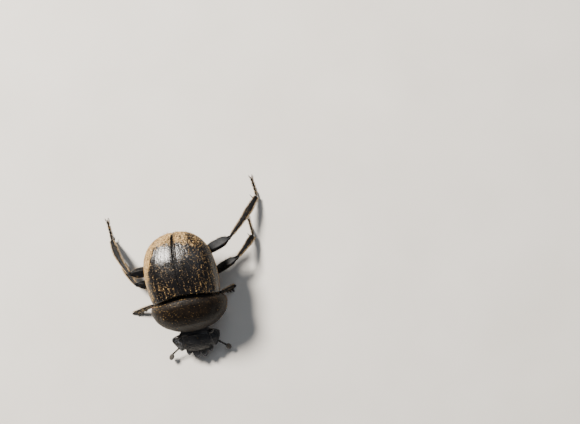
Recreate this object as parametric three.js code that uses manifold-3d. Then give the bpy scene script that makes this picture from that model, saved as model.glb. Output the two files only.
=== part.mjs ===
// A large ball-rolling dung beetle, at life size, standing nose-down on its six feet.
// Lengths are in millimetres. The body is drawn in its own level frame: +X is the beetle's left, +Y its
// rear and +Z up, with y = 0 on the midline where the pronotum meets the elytra and z = 0 under the breast.
// The body is then tipped nose-down onto the legs, whose joints are given in the standing frame, where
// z = 0 is the floor.
import * as THREE from "three";
import { mergeVertices } from "three/addons/utils/BufferGeometryUtils.js";
import Module from "manifold-3d";

const wasm = await Module();
wasm.setup();

// ---- Driving dimensions ----

const PITCH = THREE.MathUtils.degToRad(14); // nose-down tilt of the body
const BREAST_HEIGHT = 3.3; // from the floor to the body frame's origin
const STANCE_CENTRE = { x: 0.55, y: 4.3 }; // middle of the ground that the whole animal covers
const GAP = 0.12; // clear joint between neighbouring plates
const RIM = 0.35; // thickness of a plate's free edge
const UNDER_INSET = 0.35; // how far the plates of the underside stand inside the edges of the upper ones

// The y of the pronotum's front and hind edges, on the midline and at their corners.
const PRONOTUM_FRONT = { middle: -9.65, side: -8.9 };
const PRONOTUM_HIND = { middle: 0.42, side: -1.35 };
const ELYTRA_FRONT = 0.62;
const ELYTRA_LENGTH = 16.8;
const ELYTRA_HALF_WIDTH = 9.7;
const FRONT_BOW = -1.77; // how far the shoulders stand in front of the middle of the elytra's front edge
const BOW_POWER = 1.7;
const HEAD_REAR = -9.8;
const HEAD_FRONT = -17.75;
const HEAD_MIDDLE_NOTCH = -16.05; // the y of the notch between the two middle teeth
const HEAD_CENTRE = -13.2;
const HEAD_RIM_HEIGHT = { rear: 5.8, front: 4.0 };
const HEAD_ASIDE = -0.5; // the head is carried a little to its right

// Joints of the legs in the standing frame: hip, knee, ankle and toe. The fore leg has no tarsus.
const leg = (hip, knee, ankle, toe) => ({ hip, knee, ankle, toe });
const HIND_LEFT = leg([4.2, 7.9, 6.6], [13.8, 11.1, 6.6], [21.9, 20.6, 0.9], [21.3, 25.6, 0.3]);
const HIND_RIGHT = leg([-4.2, 6.5, 6.4], [-14.5, 6.8, 7.3], [-19.3, 17, 0.9], [-19.7, 22.2, 0.3]);
const MID_LEFT = leg([6, 2.4, 5.1], [14.6, 5.6, 5.8], [18.9, 10.5, 0.9], [18.4, 15.2, 0.3]);
const MID_RIGHT = leg([-6, 2.4, 5.1], [-13.9, 3.8, 5], [-17.3, 9.7, 0.9], [-19, 14.1, 0.3]);
const FORE_LEFT = leg([4.2, -5.9, 3.7], [8.2, -2.6, 5.2], null, [11.5, -1.5, -0.1]);
const FORE_RIGHT = leg([-4.2, -5.9, 3.7], [-10.2, -2.4, 4], null, [-17.7, -3.5, 0.05]);

// ---- Small tools ----

const vec = (x, y, z) => new THREE.Vector3(x, y, z);
const point = (xyz) => vec(...xyz);

// A smooth curve through a few [place, value] pairs that never overshoots them.
function profile(...points) {
  const slope = points.slice(1).map(([x, y], i) => (y - points[i][1]) / (x - points[i][0]));
  const tangent = points.map((_, i) => {
    const before = slope[i - 1] ?? slope[i];
    const after = slope[i] ?? slope[i - 1];
    return before * after > 0 ? (2 * before * after) / (before + after) : 0;
  });
  return (place) => {
    const s = THREE.MathUtils.clamp(place, points[0][0], points.at(-1)[0]);
    const i = Math.max(0, points.findIndex(([x]) => x >= s) - 1);
    const [x0, y0] = points[i];
    const [x1, y1] = points[i + 1];
    const width = x1 - x0;
    const t = (s - x0) / width;
    const rise = (2 * t - 3) * t * t;
    return (
      y0 * (1 + rise) - y1 * rise +
      width * (tangent[i] * t * (1 - t) ** 2 - tangent[i + 1] * t * t * (1 - t))
    );
  };
}

// Height of a domed section at u, which is 0 on its middle and 1 at its edge.
const dome = (u, fullness, shoulder) => (1 - Math.min(Math.abs(u), 1) ** fullness) ** (1 / shoulder);

const steps = (count) => Array.from({ length: count + 1 }, (_, i) => i / count);

// Solid from a vertex list and a triangle list, turned the right way out.
function solid(vertices, triangles) {
  let volume = 0;
  for (let i = 0; i < triangles.length; i += 3) {
    const [a, b, c] = [0, 1, 2].map((k) => vertices[triangles[i + k]]);
    volume += a.dot(b.clone().cross(c));
  }
  const turned = volume > 0 ? triangles : triangles.slice().reverse();
  return new wasm.Manifold(
    new wasm.Mesh({
      numProp: 3,
      vertProperties: new Float32Array(vertices.flatMap((v) => v.toArray())),
      triVerts: new Uint32Array(turned),
    }),
  );
}

// Closed skin over a row of rings with equal numbers of points, its two ends closed to their middles.
function loft(rings) {
  const sides = rings[0].length;
  const vertices = rings.flat();
  const triangles = [];
  for (let r = 0; r + 1 < rings.length; r++) {
    for (let k = 0; k < sides; k++) {
      const a = r * sides + k;
      const b = r * sides + ((k + 1) % sides);
      triangles.push(a, b, b + sides, a, b + sides, a + sides);
    }
  }
  for (const [ring, first, turn] of [[rings[0], 0, 1], [rings.at(-1), (rings.length - 1) * sides, 0]]) {
    const middle = vertices.length;
    vertices.push(ring.reduce((sum, p) => sum.add(p), vec(0, 0, 0)).divideScalar(sides));
    for (let k = 0; k < sides; k++) {
      const a = first + k;
      const b = first + ((k + 1) % sides);
      triangles.push(middle, turn ? b : a, turn ? a : b);
    }
  }
  return solid(vertices, triangles);
}

// A three.js geometry as a solid, and back.
function solidOf(geometry) {
  const bare = new THREE.BufferGeometry().setAttribute("position", geometry.getAttribute("position"));
  bare.setIndex(geometry.index);
  const merged = mergeVertices(bare, 1e-4);
  return new wasm.Manifold(
    new wasm.Mesh({
      numProp: 3,
      vertProperties: merged.getAttribute("position").array,
      triVerts: new Uint32Array(merged.index.array),
    }),
  );
}

function geometryOf(manifold) {
  const mesh = manifold.getMesh();
  const geometry = new THREE.BufferGeometry();
  geometry.setAttribute("position", new THREE.BufferAttribute(mesh.vertProperties, 3));
  geometry.setIndex(new THREE.BufferAttribute(mesh.triVerts, 1));
  geometry.computeVertexNormals();
  return geometry;
}

const cut = (manifold, ...tools) => tools.reduce((left, tool) => left.subtract(tool), manifold);

// Points from the body's level frame carried into the standing frame.
const tip = new THREE.Matrix4().makeRotationX(PITCH).setPosition(0, 0, BREAST_HEIGHT);
const standing = (p) => p.applyMatrix4(tip);
const level = standing(vec(0, 0, 1)).sub(standing(vec(0, 0, 0))); // the body's own upward direction

// Cross-section of a plate: over its upper surface from u = inner to u = 1, and back along its lower one.
function plateRing({ x, y, upper, lower, inner = -1, over = 14, under = 3 }) {
  const place = (s, z) => {
    const u = Math.sin((Math.PI / 2) * s);
    return standing(vec(x(u), y(u), z(u)));
  };
  const top = steps(over).map((t) => place(inner + (1 - inner) * t, upper));
  const bottom = steps(under).map((t) => place(1 - (1 - inner) * t, lower));
  return [...top, ...bottom];
}

// A tapering limb: its rings are ovals whose half-widths on the two sides of the axis and whose thickness
// are functions of t, from 0 at its root to 1 at its tip. broad is the direction of its first side.
function limb(shape, grow = 0) {
  const { from, to, broad, near, far, thick, rings = 9, sides = 8 } = shape;
  const { bend = vec(0, 0, 0), lean = () => 0 } = shape;
  const axis = to.clone().sub(from).normalize();
  const across = broad.clone().addScaledVector(axis, -broad.dot(axis)).normalize();
  const normal = axis.clone().cross(across);
  return loft(
    steps(rings).map((t) => {
      const centre = from.clone().lerp(to, t).addScaledVector(bend, 4 * t * (1 - t));
      centre.addScaledVector(axis, grow * (2 * t - 1));
      return steps(sides - 1).map((_, k) => {
        const angle = (2 * Math.PI * k) / sides;
        const side = Math.cos(angle);
        const reach = (side > 0 ? near(t) : far(t)) + grow;
        return centre
          .clone()
          .addScaledVector(across, reach * side)
          .addScaledVector(normal, (thick(t) / 2 + grow) * Math.sin(angle))
          .addScaledVector(axis, side > 0.9 ? lean(t) : 0);
      });
    }),
  );
}

function ellipsoid(centre, radii, turn = [0, 0, 0], across = 12, down = 8) {
  const geometry = new THREE.SphereGeometry(1, across, down);
  const matrix = new THREE.Matrix4().compose(
    point(centre),
    new THREE.Quaternion().setFromEuler(new THREE.Euler(...turn)),
    point(radii),
  );
  return solidOf(geometry.applyMatrix4(matrix).applyMatrix4(tip));
}

// Everything below the floor, which trims the soles flat.
const floor = solidOf(new THREE.BoxGeometry(80, 80, 10).translate(0, 0, -5));

// ---- Body plates ----

// Pronotum: s runs from its front edge (0) to its hind edge (1).
const pronotumHalf = profile(
  [0, 5.4], [0.12, 6.95], [0.28, 8.45], [0.48, 9.6], [0.78, 10.2], [0.93, 9.85], [1, 9.1],
);
const pronotumTop = profile([0, 7.5], [0.1, 8.9], [0.3, 11.2], [0.6, 12.5], [0.8, 12.55], [1, 12.0]);
const pronotumEdge = profile([0, 6.1], [0.5, 5.9], [1, 6.3]);
function pronotumY(s, u) {
  const middle = THREE.MathUtils.lerp(PRONOTUM_FRONT.middle, PRONOTUM_HIND.middle, s);
  const side = THREE.MathUtils.lerp(PRONOTUM_FRONT.side, PRONOTUM_HIND.side, s);
  return middle + (side - middle) * Math.abs(u) ** BOW_POWER;
}

function pronotum() {
  return loft(
    steps(14).map((s) => {
      const edge = pronotumEdge(s);
      return plateRing({
        x: (u) => pronotumHalf(s) * u,
        y: (u) => pronotumY(s, u),
        upper: (u) => edge + (pronotumTop(s) - edge) * dome(u, 2.3, 2),
        lower: () => edge - RIM,
        over: 16,
      });
    }),
  );
}

// The breast below the pronotum, up to which the lower surface rises from the midline.
function prosternum() {
  const keel = profile([0, 4.3], [0.25, 2.2], [0.6, 1.2], [1, 1.4]);
  return loft(
    steps(9).map((s) => {
      const top = pronotumEdge(s) - RIM - GAP;
      const deep = keel(s);
      return plateRing({
        x: (u) => (pronotumHalf(s) - UNDER_INSET) * u,
        y: (u) => pronotumY(s, u) + 0.1 - 0.35 * s,
        upper: () => top,
        lower: (u) => deep + (top - RIM - deep) * Math.abs(u) ** 2.6,
        over: 3,
        under: 12,
      });
    }),
  );
}

// Elytra: widest in front of their middle, then rounding to a blunt apex.
const WIDEST = 4.5;
function elytraHalf(y) {
  const back = Math.max(0, (y - WIDEST) / (ELYTRA_LENGTH - WIDEST));
  const front = Math.max(0, (WIDEST - y) / 5.4);
  return ELYTRA_HALF_WIDTH * (1 - Math.min(back, 0.9995) ** 2.7) ** 0.4545 - 0.7 * front ** 2;
}
const elytraTop = profile(
  [0.6, 10.9], [1.7, 12], [5, 11.8], [10, 10.5], [13.5, 8.5], [15.7, 6.5], [16.8, 5.1],
);
const elytraEdge = profile([-1, 6.5], [5, 6.3], [12, 5.7], [16.8, 4.7]);
// Rows from the front, which drops steeply to the joint, to the apex, as shares of the length.
const ELYTRA_ROWS = [
  0, 0.03, 0.07, 0.14, 0.23, 0.33, 0.43, 0.53, 0.63, 0.72, 0.8, 0.87, 0.925, 0.965, 0.99, 1,
];

function elytron(side) {
  return loft(
    ELYTRA_ROWS.map((s) => {
      const mid = THREE.MathUtils.lerp(ELYTRA_FRONT, ELYTRA_LENGTH - 0.03, s);
      const bow = FRONT_BOW * (1 - s) ** 1.5;
      const half = elytraHalf(mid + bow);
      const edge = elytraEdge(mid + bow);
      return plateRing({
        x: (u) => side * (GAP / 2 + (half - GAP / 2) * u),
        y: (u) => mid + bow * u ** BOW_POWER,
        upper: (u) => edge + (elytraTop(mid) - edge) * dome(u, 2.5, 1.9),
        lower: () => edge - RIM,
        inner: 0,
        over: 12,
        under: 2,
      });
    }),
  );
}

// The plates below the elytra: the metasternum in front and the abdomen behind it.
function underbody(from, to, keel, count, frontBow = 0) {
  return loft(
    steps(count).map((t) => {
      const y = from + (to - from) * t;
      const bow = frontBow * (1 - t);
      const top = elytraEdge(y + bow) - RIM - GAP;
      const deep = keel(y);
      return plateRing({
        x: (u) => (elytraHalf(y + bow) - UNDER_INSET) * u,
        y: (u) => y + bow * Math.abs(u) ** BOW_POWER,
        upper: () => top,
        lower: (u) => deep + (top - RIM - deep) * Math.abs(u) ** 2.6,
        over: 3,
        under: 12,
      });
    }),
  );
}

const METASTERNUM_FRONT = 0.75;
const METASTERNUM_REAR = 6.9;
const ABDOMEN_REAR = 15.2;
const BREAST_KEEL = profile([-1, 1.3], [1, 0.3], [4, 0.1], [7, 0.5]);
const BELLY_KEEL = profile([7, 1], [10, 1.2], [13, 2], [15.2, 3.1]);
const metasternum = () => underbody(METASTERNUM_FRONT, METASTERNUM_REAR, BREAST_KEEL, 7, FRONT_BOW);
const abdomen = () => underbody(METASTERNUM_REAR + GAP, ABDOMEN_REAR, BELLY_KEEL, 8);

// Last plate of the abdomen, closing it behind under the apex of the elytra.
function pygidium() {
  return loft(
    steps(4).map((t) => {
      const y = ABDOMEN_REAR + GAP + t * (ELYTRA_LENGTH - 0.55 - ABDOMEN_REAR);
      const top = elytraEdge(y) - RIM - GAP;
      const deep = THREE.MathUtils.lerp(2.6, 3.7, t);
      return plateRing({
        x: (u) => (elytraHalf(y) - 1.2) * u,
        y: () => y,
        upper: () => top,
        lower: (u) => deep + (top - 0.3 - deep) * Math.abs(u) ** 2.2,
        over: 2,
        under: 8,
      });
    }),
  );
}

// ---- Head ----

// Half of the head's outline from the back of the cheek to the middle of the front: the cheek's corner, the
// cheek's tooth, and the two rounded teeth of each side of the front edge, each followed by its notch.
const HEAD_OUTLINE = [
  [3.2, -10.1], [5.8, -10.8], [6.5, -11.4], [6.3, -12.6], [4.95, -14.95], [4.3, -14.9],
  [3.65, -14.5], [3.55, -15.8], [3.05, -16.6], [2.6, -16.2], [2.2, -15.65], [1.85, -16.5],
  [1.5, -17.45], [1.08, HEAD_FRONT], [0.7, -17.45], [0.35, -16.5],
];
const headRim = (y) =>
  THREE.MathUtils.mapLinear(y, HEAD_REAR, HEAD_FRONT, HEAD_RIM_HEIGHT.rear, HEAD_RIM_HEIGHT.front);

function head() {
  const half = HEAD_OUTLINE.map(([x, y]) => vec(x, y, 0));
  const mirrored = half.map((p) => vec(-p.x, p.y, 0)).reverse();
  const outline = [vec(0, HEAD_REAR, 0), ...half, vec(0, HEAD_MIDDLE_NOTCH, 0), ...mirrored];
  const centre = vec(0, HEAD_CENTRE, 0);
  const upper = (p, t) => {
    const crown = 1.5 * Math.exp(-(((p.y - HEAD_REAR) / 1.5) ** 2)) * (1 - (p.x / 6.6) ** 2);
    return headRim(p.y) + 1.35 * (1 - t ** 2.2) + crown * Math.min(1, 3.3 * (1 - t) + 0.55);
  };
  const lower = (p, t) => headRim(p.y) - 0.5 - 1.4 * (1 - t ** 3);
  // Inside its toothed edge the head is an even oval.
  const oval = (p) => 1 / Math.hypot(p.x / 6.1, (p.y - centre.y) / 2.85);
  const ring = (t, height) =>
    outline.map((p) => {
      const q = centre.clone().lerp(p, t < 1 ? t * Math.min(1, oval(p)) : 1);
      return standing(vec(q.x + HEAD_ASIDE, q.y, height(q, t)));
    });
  const under = [0.2, 0.75, 1].map((t) => ring(t, lower));
  const over = [1, 0.92, 0.72, 0.45, 0.2].map((t) => ring(t, upper));
  return loft([...under, ...over]);
}

const EYE_RADII = [0.75, 0.5, 0.6];

function eye(side, grow = 0) {
  const centre = [side * 4.6 + HEAD_ASIDE, -10.85, 6.2];
  return ellipsoid(centre, EYE_RADII.map((r) => r + grow), [0, side * 0.35, side * 0.3], 10, 6);
}

// Labium and maxillae under the head, as one low rounded block.
const mouthparts = () => ellipsoid([HEAD_ASIDE, -13.5, 2.45], [2.0, 1.9, 0.45], [0.23, 0, 0], 10, 6);

function palp(side) {
  return limb({
    from: standing(vec(side * 2.25 + HEAD_ASIDE, -14.2, 2.75)),
    to: standing(vec(side * 2.3 + HEAD_ASIDE, -16.6, 2.75)),
    bend: vec(side * 0.45, 0, -0.1),
    broad: vec(side, 0, 0),
    near: (t) => 0.27 - 0.06 * Math.cos(6 * Math.PI * t),
    far: (t) => 0.27 - 0.06 * Math.cos(6 * Math.PI * t),
    thick: () => 0.5,
    rings: 7,
    sides: 6,
  });
}

// Each antenna is a thin jointed stalk with a club of three leaves.
const feeler = (root, bendAt, end, club) => ({ root, bendAt, end, club });
const ANTENNA_LEFT = feeler([2.8, -12.9, 3], [4.7, -14.6, 3.2], [6.3, -16.1, 2.8], [6.9, -16.8, 2.6]);
const ANTENNA_RIGHT = feeler([-3.8, -12.9, 3], [-6.1, -14.5, 3.2], [-8.5, -16, 2.7], [-9, -16.8, 2.5]);

function antenna({ root, bendAt, end }) {
  const [from, to] = [standing(point(root)), standing(point(end))];
  const bend = standing(point(bendAt)).sub(from.clone().lerp(to, 0.5));
  const radius = profile([0, 0.32], [0.45, 0.27], [1, 0.26]);
  return limb({
    from,
    to,
    bend,
    broad: level,
    near: radius,
    far: radius,
    thick: (t) => 2 * radius(t),
    rings: 7,
    sides: 6,
  });
}

function club({ end, club: middle }) {
  const reach = point(middle).sub(point(end));
  const heading = Math.atan2(reach.y, reach.x);
  return ellipsoid(middle, [0.78, 0.5, 0.42], [0, 0, heading], 8, 6);
}

// ---- Legs ----

const COXA = {
  fore: { centre: [3.0, -6.1, 1.5], radii: [1.9, 1.4, 1.2], yaw: 0.35 },
  mid: { centre: [4.7, 2.3, 0.75], radii: [1.3, 2.3, 0.8], yaw: -0.5 },
  hind: { centre: [4.0, 7.2, 1.2], radii: [3.3, 1.0, 0.85], yaw: 0.1 },
};

function coxa(pair, side, grow = 0) {
  const { centre: [x, y, z], radii, yaw } = COXA[pair];
  return ellipsoid([side * x, y, z], radii.map((r) => r + grow), [0, 0, side * yaw], 10, 6);
}

// Half-widths of a femur on its front and hind sides, and its thickness.
const FEMUR = {
  fore: { near: [0.5, 1.35, 1.6, 1.2, 0.55], far: [0.5, 1.2, 1.45, 1.15, 0.55], thick: 2.0 },
  mid: { near: [0.45, 0.95, 1.15, 1.1, 0.5], far: [0.45, 0.95, 1.25, 1.15, 0.5], thick: 1.5 },
  hind: { near: [0.45, 0.95, 1.35, 1.4, 0.6], far: [0.45, 1.1, 1.5, 1.4, 0.65], thick: 1.9 },
};
const fifths = (values) => profile(...values.map((value, i) => [[0, 0.25, 0.5, 0.75, 1][i], value]));
const rounded = (t) => Math.sqrt(Math.max(0.12, 1 - Math.abs(2 * t - 1) ** 7));

const jointGap = 0.1;
function along(a, b, startGap, endGap) {
  const [from, to] = [point(a), point(b)];
  const axis = to.clone().sub(from).normalize();
  return { from: from.addScaledVector(axis, startGap), to: to.addScaledVector(axis, -endGap) };
}

function femur(pair, { hip, knee }, grow = 0) {
  const { near, far, thick } = FEMUR[pair];
  const [front, hind] = [fifths(near), fifths(far)];
  return limb(
    {
      ...along(hip, knee, 0, jointGap),
      broad: vec(0, -1, 0).addScaledVector(level, 0.15),
      near: (t) => front(t) * rounded(t),
      far: (t) => hind(t) * rounded(t),
      thick: (t) => thick * rounded(t) * profile([0, 0.6], [0.45, 1], [1, 0.5])(t),
      rings: 8,
      sides: 8,
    },
    grow,
  );
}

// Fore tibia: a narrow digging blade turned half on edge. Its front edge carries three teeth that lean
// strongly towards its long pointed tip.
const TEETH = [[0.42, 0.5], [0.58, 0.85], [0.76, 1.1]]; // place along the blade, and length
const TOOTH_HALF = 0.09; // half a tooth's width as a share of the blade
const TOOTH_LEAN = 0.95; // how far a tooth leans forward, as a share of its length
const tooth = (t) =>
  Math.max(...TEETH.map(([at, size]) => size * Math.max(0, 1 - Math.abs(t - at) / TOOTH_HALF)));

function foreTibia({ knee, toe }) {
  const blade = profile([0, 0.4], [0.2, 0.5], [0.78, 0.6], [0.88, 0.55], [1, 0.25]);
  const whole = limb({
    ...along(knee, toe, jointGap, 0),
    broad: vec(0, -0.75, -0.65),
    near: (t) => blade(t) + tooth(t),
    far: profile([0, 0.4], [0.3, 0.5], [0.8, 0.5], [0.9, 0.35], [1, 0.2]),
    thick: profile([0, 0.7], [0.3, 0.95], [0.8, 0.8], [1, 0.5]),
    lean: (t) => TOOTH_LEAN * tooth(t),
    rings: 22,
    sides: 6,
  });
  return cut(whole, floor);
}

// Mid and hind tibiae widen towards their ends, which carry a spur on the inner side.
const MID_HALF = profile([0, 0.38], [0.5, 0.62], [0.85, 0.8], [1, 0.6]);
const HIND_HALF = profile([0, 0.36], [0.35, 0.6], [0.65, 0.85], [1, 0.5]);
const TIBIA = {
  mid: { half: MID_HALF, thick: [0.65, 0.95], bend: 0.25, spur: 1.5 },
  hind: { half: HIND_HALF, thick: [0.6, 0.8], bend: 0.45, spur: 1.6 },
};

function tibia(pair, { knee, ankle, toe }) {
  const { half, thick, bend, spur } = TIBIA[pair];
  const { from, to } = along(knee, ankle, jointGap, 0.15);
  const side = Math.sign(knee[0]);
  const shaft = limb({
    from,
    to,
    bend: vec(side * bend, 0, bend * 0.5),
    broad: vec(side, -0.5, 0),
    near: half,
    far: half,
    thick: profile([0, thick[0]], [0.9, thick[1]], [1, thick[1] * 0.8]),
    rings: 9,
    sides: 8,
  });
  const heading = point(toe).sub(point(ankle)).setZ(0).normalize();
  const root = to.clone().lerp(from, 0.07).addScaledVector(vec(-side, 0, 0), 0.2);
  const end = root.clone().addScaledVector(heading, spur).addScaledVector(vec(-side, 0, 0), 0.75);
  end.z = Math.max(0.35, root.z - 0.5);
  const taper = profile([0, 0.3], [0.6, 0.25], [1, 0.12]);
  const spine = limb({
    from: root,
    to: end,
    broad: vec(0, 0, 1),
    near: taper,
    far: taper,
    thick: (t) => 2 * taper(t),
    rings: 3,
    sides: 5,
  });
  return shaft.add(spine);
}

// Tarsus: five joints, each widening to its end, the last ones lying on the floor.
const TARSUS_JOINTS = { mid: [0, 0.3, 0.48, 0.64, 0.78, 1], hind: [0, 0.31, 0.49, 0.65, 0.79, 1] };
const TARSUS_HALF = { mid: 0.36, hind: 0.38 };

function tarsus(pair, { ankle, toe }) {
  const ends = TARSUS_JOINTS[pair];
  const width = (t) => {
    const i = Math.min(4, Math.max(0, ends.findIndex((end) => end >= t) - 1));
    const within = (t - ends[i]) / (ends[i + 1] - ends[i]);
    return TARSUS_HALF[pair] * (0.72 + 0.28 * Math.sin(Math.PI * Math.min(1, within * 0.95) ** 1.4));
  };
  const whole = limb({
    ...along(ankle, toe, 0.05, 0),
    bend: vec(0, 0, -0.33),
    broad: vec(1, 0, 0),
    near: width,
    far: width,
    thick: (t) => 2 * width(t) * 0.85,
    rings: 14,
    sides: 6,
  });
  return cut(whole, floor);
}

// A pair of small hooked claws on one root at the end of the tarsus.
function claws({ ankle, toe }) {
  const heading = point(toe).sub(point(ankle)).setZ(0).normalize();
  const across = heading.clone().cross(vec(0, 0, 1));
  const root = point(toe).addScaledVector(heading, 0.32);
  const taper = profile([0, 0.26], [0.5, 0.22], [1, 0.1]);
  const hooks = [-1, 1].map((side) =>
    limb({
      from: root.clone().addScaledVector(heading, -0.12),
      to: root.clone().addScaledVector(heading, 0.75).addScaledVector(across, side * 0.42).setZ(0.12),
      bend: across.clone().multiplyScalar(side * 0.14).setZ(0.1),
      broad: across,
      near: taper,
      far: taper,
      thick: (t) => 2 * taper(t),
      rings: 3,
      sides: 5,
    }),
  );
  return cut(hooks[0].add(hooks[1]), floor);
}

// ---- The whole animal ----

const SHELL = { color: 0x1c1b1c, roughness: 0.5, metalness: 0 };
const DUSTED_SHELL = { color: 0x25211d, roughness: 0.6, metalness: 0 };
const UNDERSIDE = { color: 0x17161a, roughness: 0.45, metalness: 0 };
const LEG = { color: 0x1b1c20, roughness: 0.4, metalness: 0 };
const FEELER = { color: 0x2d2522, roughness: 0.5, metalness: 0 };
const EYE = { color: 0x100c0a, roughness: 0.15, metalness: 0 };
const CLAW = { color: 0x241814, roughness: 0.35, metalness: 0 };

const group = new THREE.Group();
function add(name, manifold, finish) {
  const mesh = new THREE.Mesh(geometryOf(manifold), new THREE.MeshStandardMaterial(finish));
  mesh.name = name;
  mesh.position.set(-STANCE_CENTRE.x, -STANCE_CENTRE.y, 0);
  group.add(mesh);
}

const LEGS = [
  { pair: "fore", side: 1, name: "fore_left", joints: FORE_LEFT },
  { pair: "fore", side: -1, name: "fore_right", joints: FORE_RIGHT },
  { pair: "mid", side: 1, name: "mid_left", joints: MID_LEFT },
  { pair: "mid", side: -1, name: "mid_right", joints: MID_RIGHT },
  { pair: "hind", side: 1, name: "hind_left", joints: HIND_LEFT },
  { pair: "hind", side: -1, name: "hind_right", joints: HIND_RIGHT },
];
const thighRoom = LEGS.map(({ pair, joints }) => femur(pair, joints, GAP));
const coxaRoom = LEGS.map(({ pair, side }) => coxa(pair, side, GAP));
const eyeRoom = [1, -1].map((side) => eye(side, GAP));

add("head", cut(head(), ...eyeRoom), SHELL);
add("mouthparts", mouthparts(), UNDERSIDE);
add("pronotum", pronotum(), DUSTED_SHELL);
add("prosternum", cut(prosternum(), ...thighRoom, ...coxaRoom), UNDERSIDE);
add("metasternum", cut(metasternum(), ...thighRoom, ...coxaRoom), UNDERSIDE);
add("abdomen", cut(abdomen(), ...thighRoom, ...coxaRoom), UNDERSIDE);
add("pygidium", pygidium(), UNDERSIDE);

for (const [word, side, joints] of [["left", 1, ANTENNA_LEFT], ["right", -1, ANTENNA_RIGHT]]) {
  add("elytron_" + word, elytron(side), DUSTED_SHELL);
  add("eye_" + word, eye(side), EYE);
  add("palp_" + word, palp(side), FEELER);
  add("antenna_" + word, antenna(joints), FEELER);
  add("antenna_club_" + word, club(joints), FEELER);
}

for (const { pair, side, name, joints } of LEGS) {
  add("coxa_" + name, cut(coxa(pair, side), ...thighRoom), UNDERSIDE);
  add("femur_" + name, femur(pair, joints), LEG);
  if (pair === "fore") {
    add("tibia_" + name, foreTibia(joints), LEG);
    continue;
  }
  add("tibia_" + name, tibia(pair, joints), LEG);
  add("tarsus_" + name, tarsus(pair, joints), LEG);
  add("claws_" + name, claws(joints), CLAW);
}

export default group;
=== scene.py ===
"""The looks of a large ball-rolling dung beetle.

Lengths in the making are millimetres and become metres in the meshes. The body is drawn in its own level
frame (+X its left, +Y its rear, +Z up, y = 0 where the pronotum meets the elytra) and then tipped nose-down
onto the legs, whose joints are given in the standing frame.
"""

from math import cos, pi, radians, sin, tan

import bpy
import numpy as np
from mathutils import Matrix, Vector, noise


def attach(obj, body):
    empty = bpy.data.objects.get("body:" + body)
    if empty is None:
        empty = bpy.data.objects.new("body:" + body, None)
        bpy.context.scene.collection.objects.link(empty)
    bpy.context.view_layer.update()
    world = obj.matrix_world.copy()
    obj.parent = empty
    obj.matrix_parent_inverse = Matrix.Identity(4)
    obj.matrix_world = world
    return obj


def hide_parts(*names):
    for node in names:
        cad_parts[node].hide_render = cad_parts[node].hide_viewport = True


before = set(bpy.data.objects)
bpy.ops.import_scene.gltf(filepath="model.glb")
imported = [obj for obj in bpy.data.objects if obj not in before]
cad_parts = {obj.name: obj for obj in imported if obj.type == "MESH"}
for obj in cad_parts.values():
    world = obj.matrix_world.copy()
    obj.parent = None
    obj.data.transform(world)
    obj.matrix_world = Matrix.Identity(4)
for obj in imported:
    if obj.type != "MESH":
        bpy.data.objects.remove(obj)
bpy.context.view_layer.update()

# ---- Driving dimensions ----

MM = 0.001
PITCH = radians(14)
BREAST_HEIGHT = 3.3
STANCE_CENTRE = np.array([0.55, 4.3, 0.0])
GAP = 0.12  # between neighbouring plates
RIM = 0.35  # depth of a plate's rim
PRONOTUM_FRONT = (-9.65, -8.9)  # y of the front edge on the midline and at its corners
PRONOTUM_HIND = (0.42, -1.35)
ELYTRA_FRONT = 0.62
ELYTRA_LENGTH = 16.8
ELYTRA_HALF_WIDTH = 9.7
FRONT_BOW = -1.77  # how far the shoulders stand in front of the middle of the elytra's front edge
BOW_POWER = 1.7
HEAD_REAR = -9.8
HEAD_FRONT = -17.75
HEAD_ASIDE = np.array([-0.5, 0, 0])  # the head is carried a little to its right
SIDES = (("left", 1), ("right", -1))

# Joints of the legs in the standing frame: hip, knee, ankle and toe. The fore leg has no tarsus.
LEGS = {
    "hind_left": ((4.2, 7.9, 6.6), (13.8, 11.1, 6.6), (21.9, 20.6, 0.9), (21.3, 25.6, 0.3)),
    "hind_right": ((-4.2, 6.5, 6.4), (-14.5, 6.8, 7.3), (-19.3, 17, 0.9), (-19.7, 22.2, 0.3)),
    "mid_left": ((6, 2.4, 5.1), (14.6, 5.6, 5.8), (18.9, 10.5, 0.9), (18.4, 15.2, 0.3)),
    "mid_right": ((-6, 2.4, 5.1), (-13.9, 3.8, 5), (-17.3, 9.7, 0.9), (-19, 14.1, 0.3)),
    "fore_left": ((4.2, -5.9, 3.7), (8.2, -2.6, 5.2), (11.5, -1.5, -0.1)),
    "fore_right": ((-4.2, -5.9, 3.7), (-10.2, -2.4, 4), (-17.7, -3.5, 0.05)),
}

# ---- Curves, frames and relief ----

TIP = np.array([[1, 0, 0], [0, cos(PITCH), -sin(PITCH)], [0, sin(PITCH), cos(PITCH)]])
LEVEL = TIP @ (0, 0, 1.0)
rng = np.random.default_rng(17)


def stand(points):
    """Points of the body's level frame in the part's frame."""
    return np.asarray(points, float) @ TIP.T + (0, 0, BREAST_HEIGHT) - STANCE_CENTRE


def unit(v):
    v = np.asarray(v, float)
    return v / np.maximum(np.linalg.norm(v, axis=-1, keepdims=True), 1e-9)


def vectors(*parts):
    """Points or directions from their coordinates, each a number or an array."""
    return np.stack(np.broadcast_arrays(*parts), -1)


def turns(count):
    """Angles evenly round a circle."""
    return np.linspace(0, 2 * pi, count, endpoint=False)


def sheet(rows, columns, first=-1):
    """Grid coordinates of a plate: s from 0 at its front to 1 at its rear, and u from first to 1 across it,
    closer together towards its sides."""
    s = np.linspace(0, 1, rows)[:, None]
    u = np.sin(pi / 2 * np.linspace(first, 1, columns))
    return s + 0 * u, u + 0 * s


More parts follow.
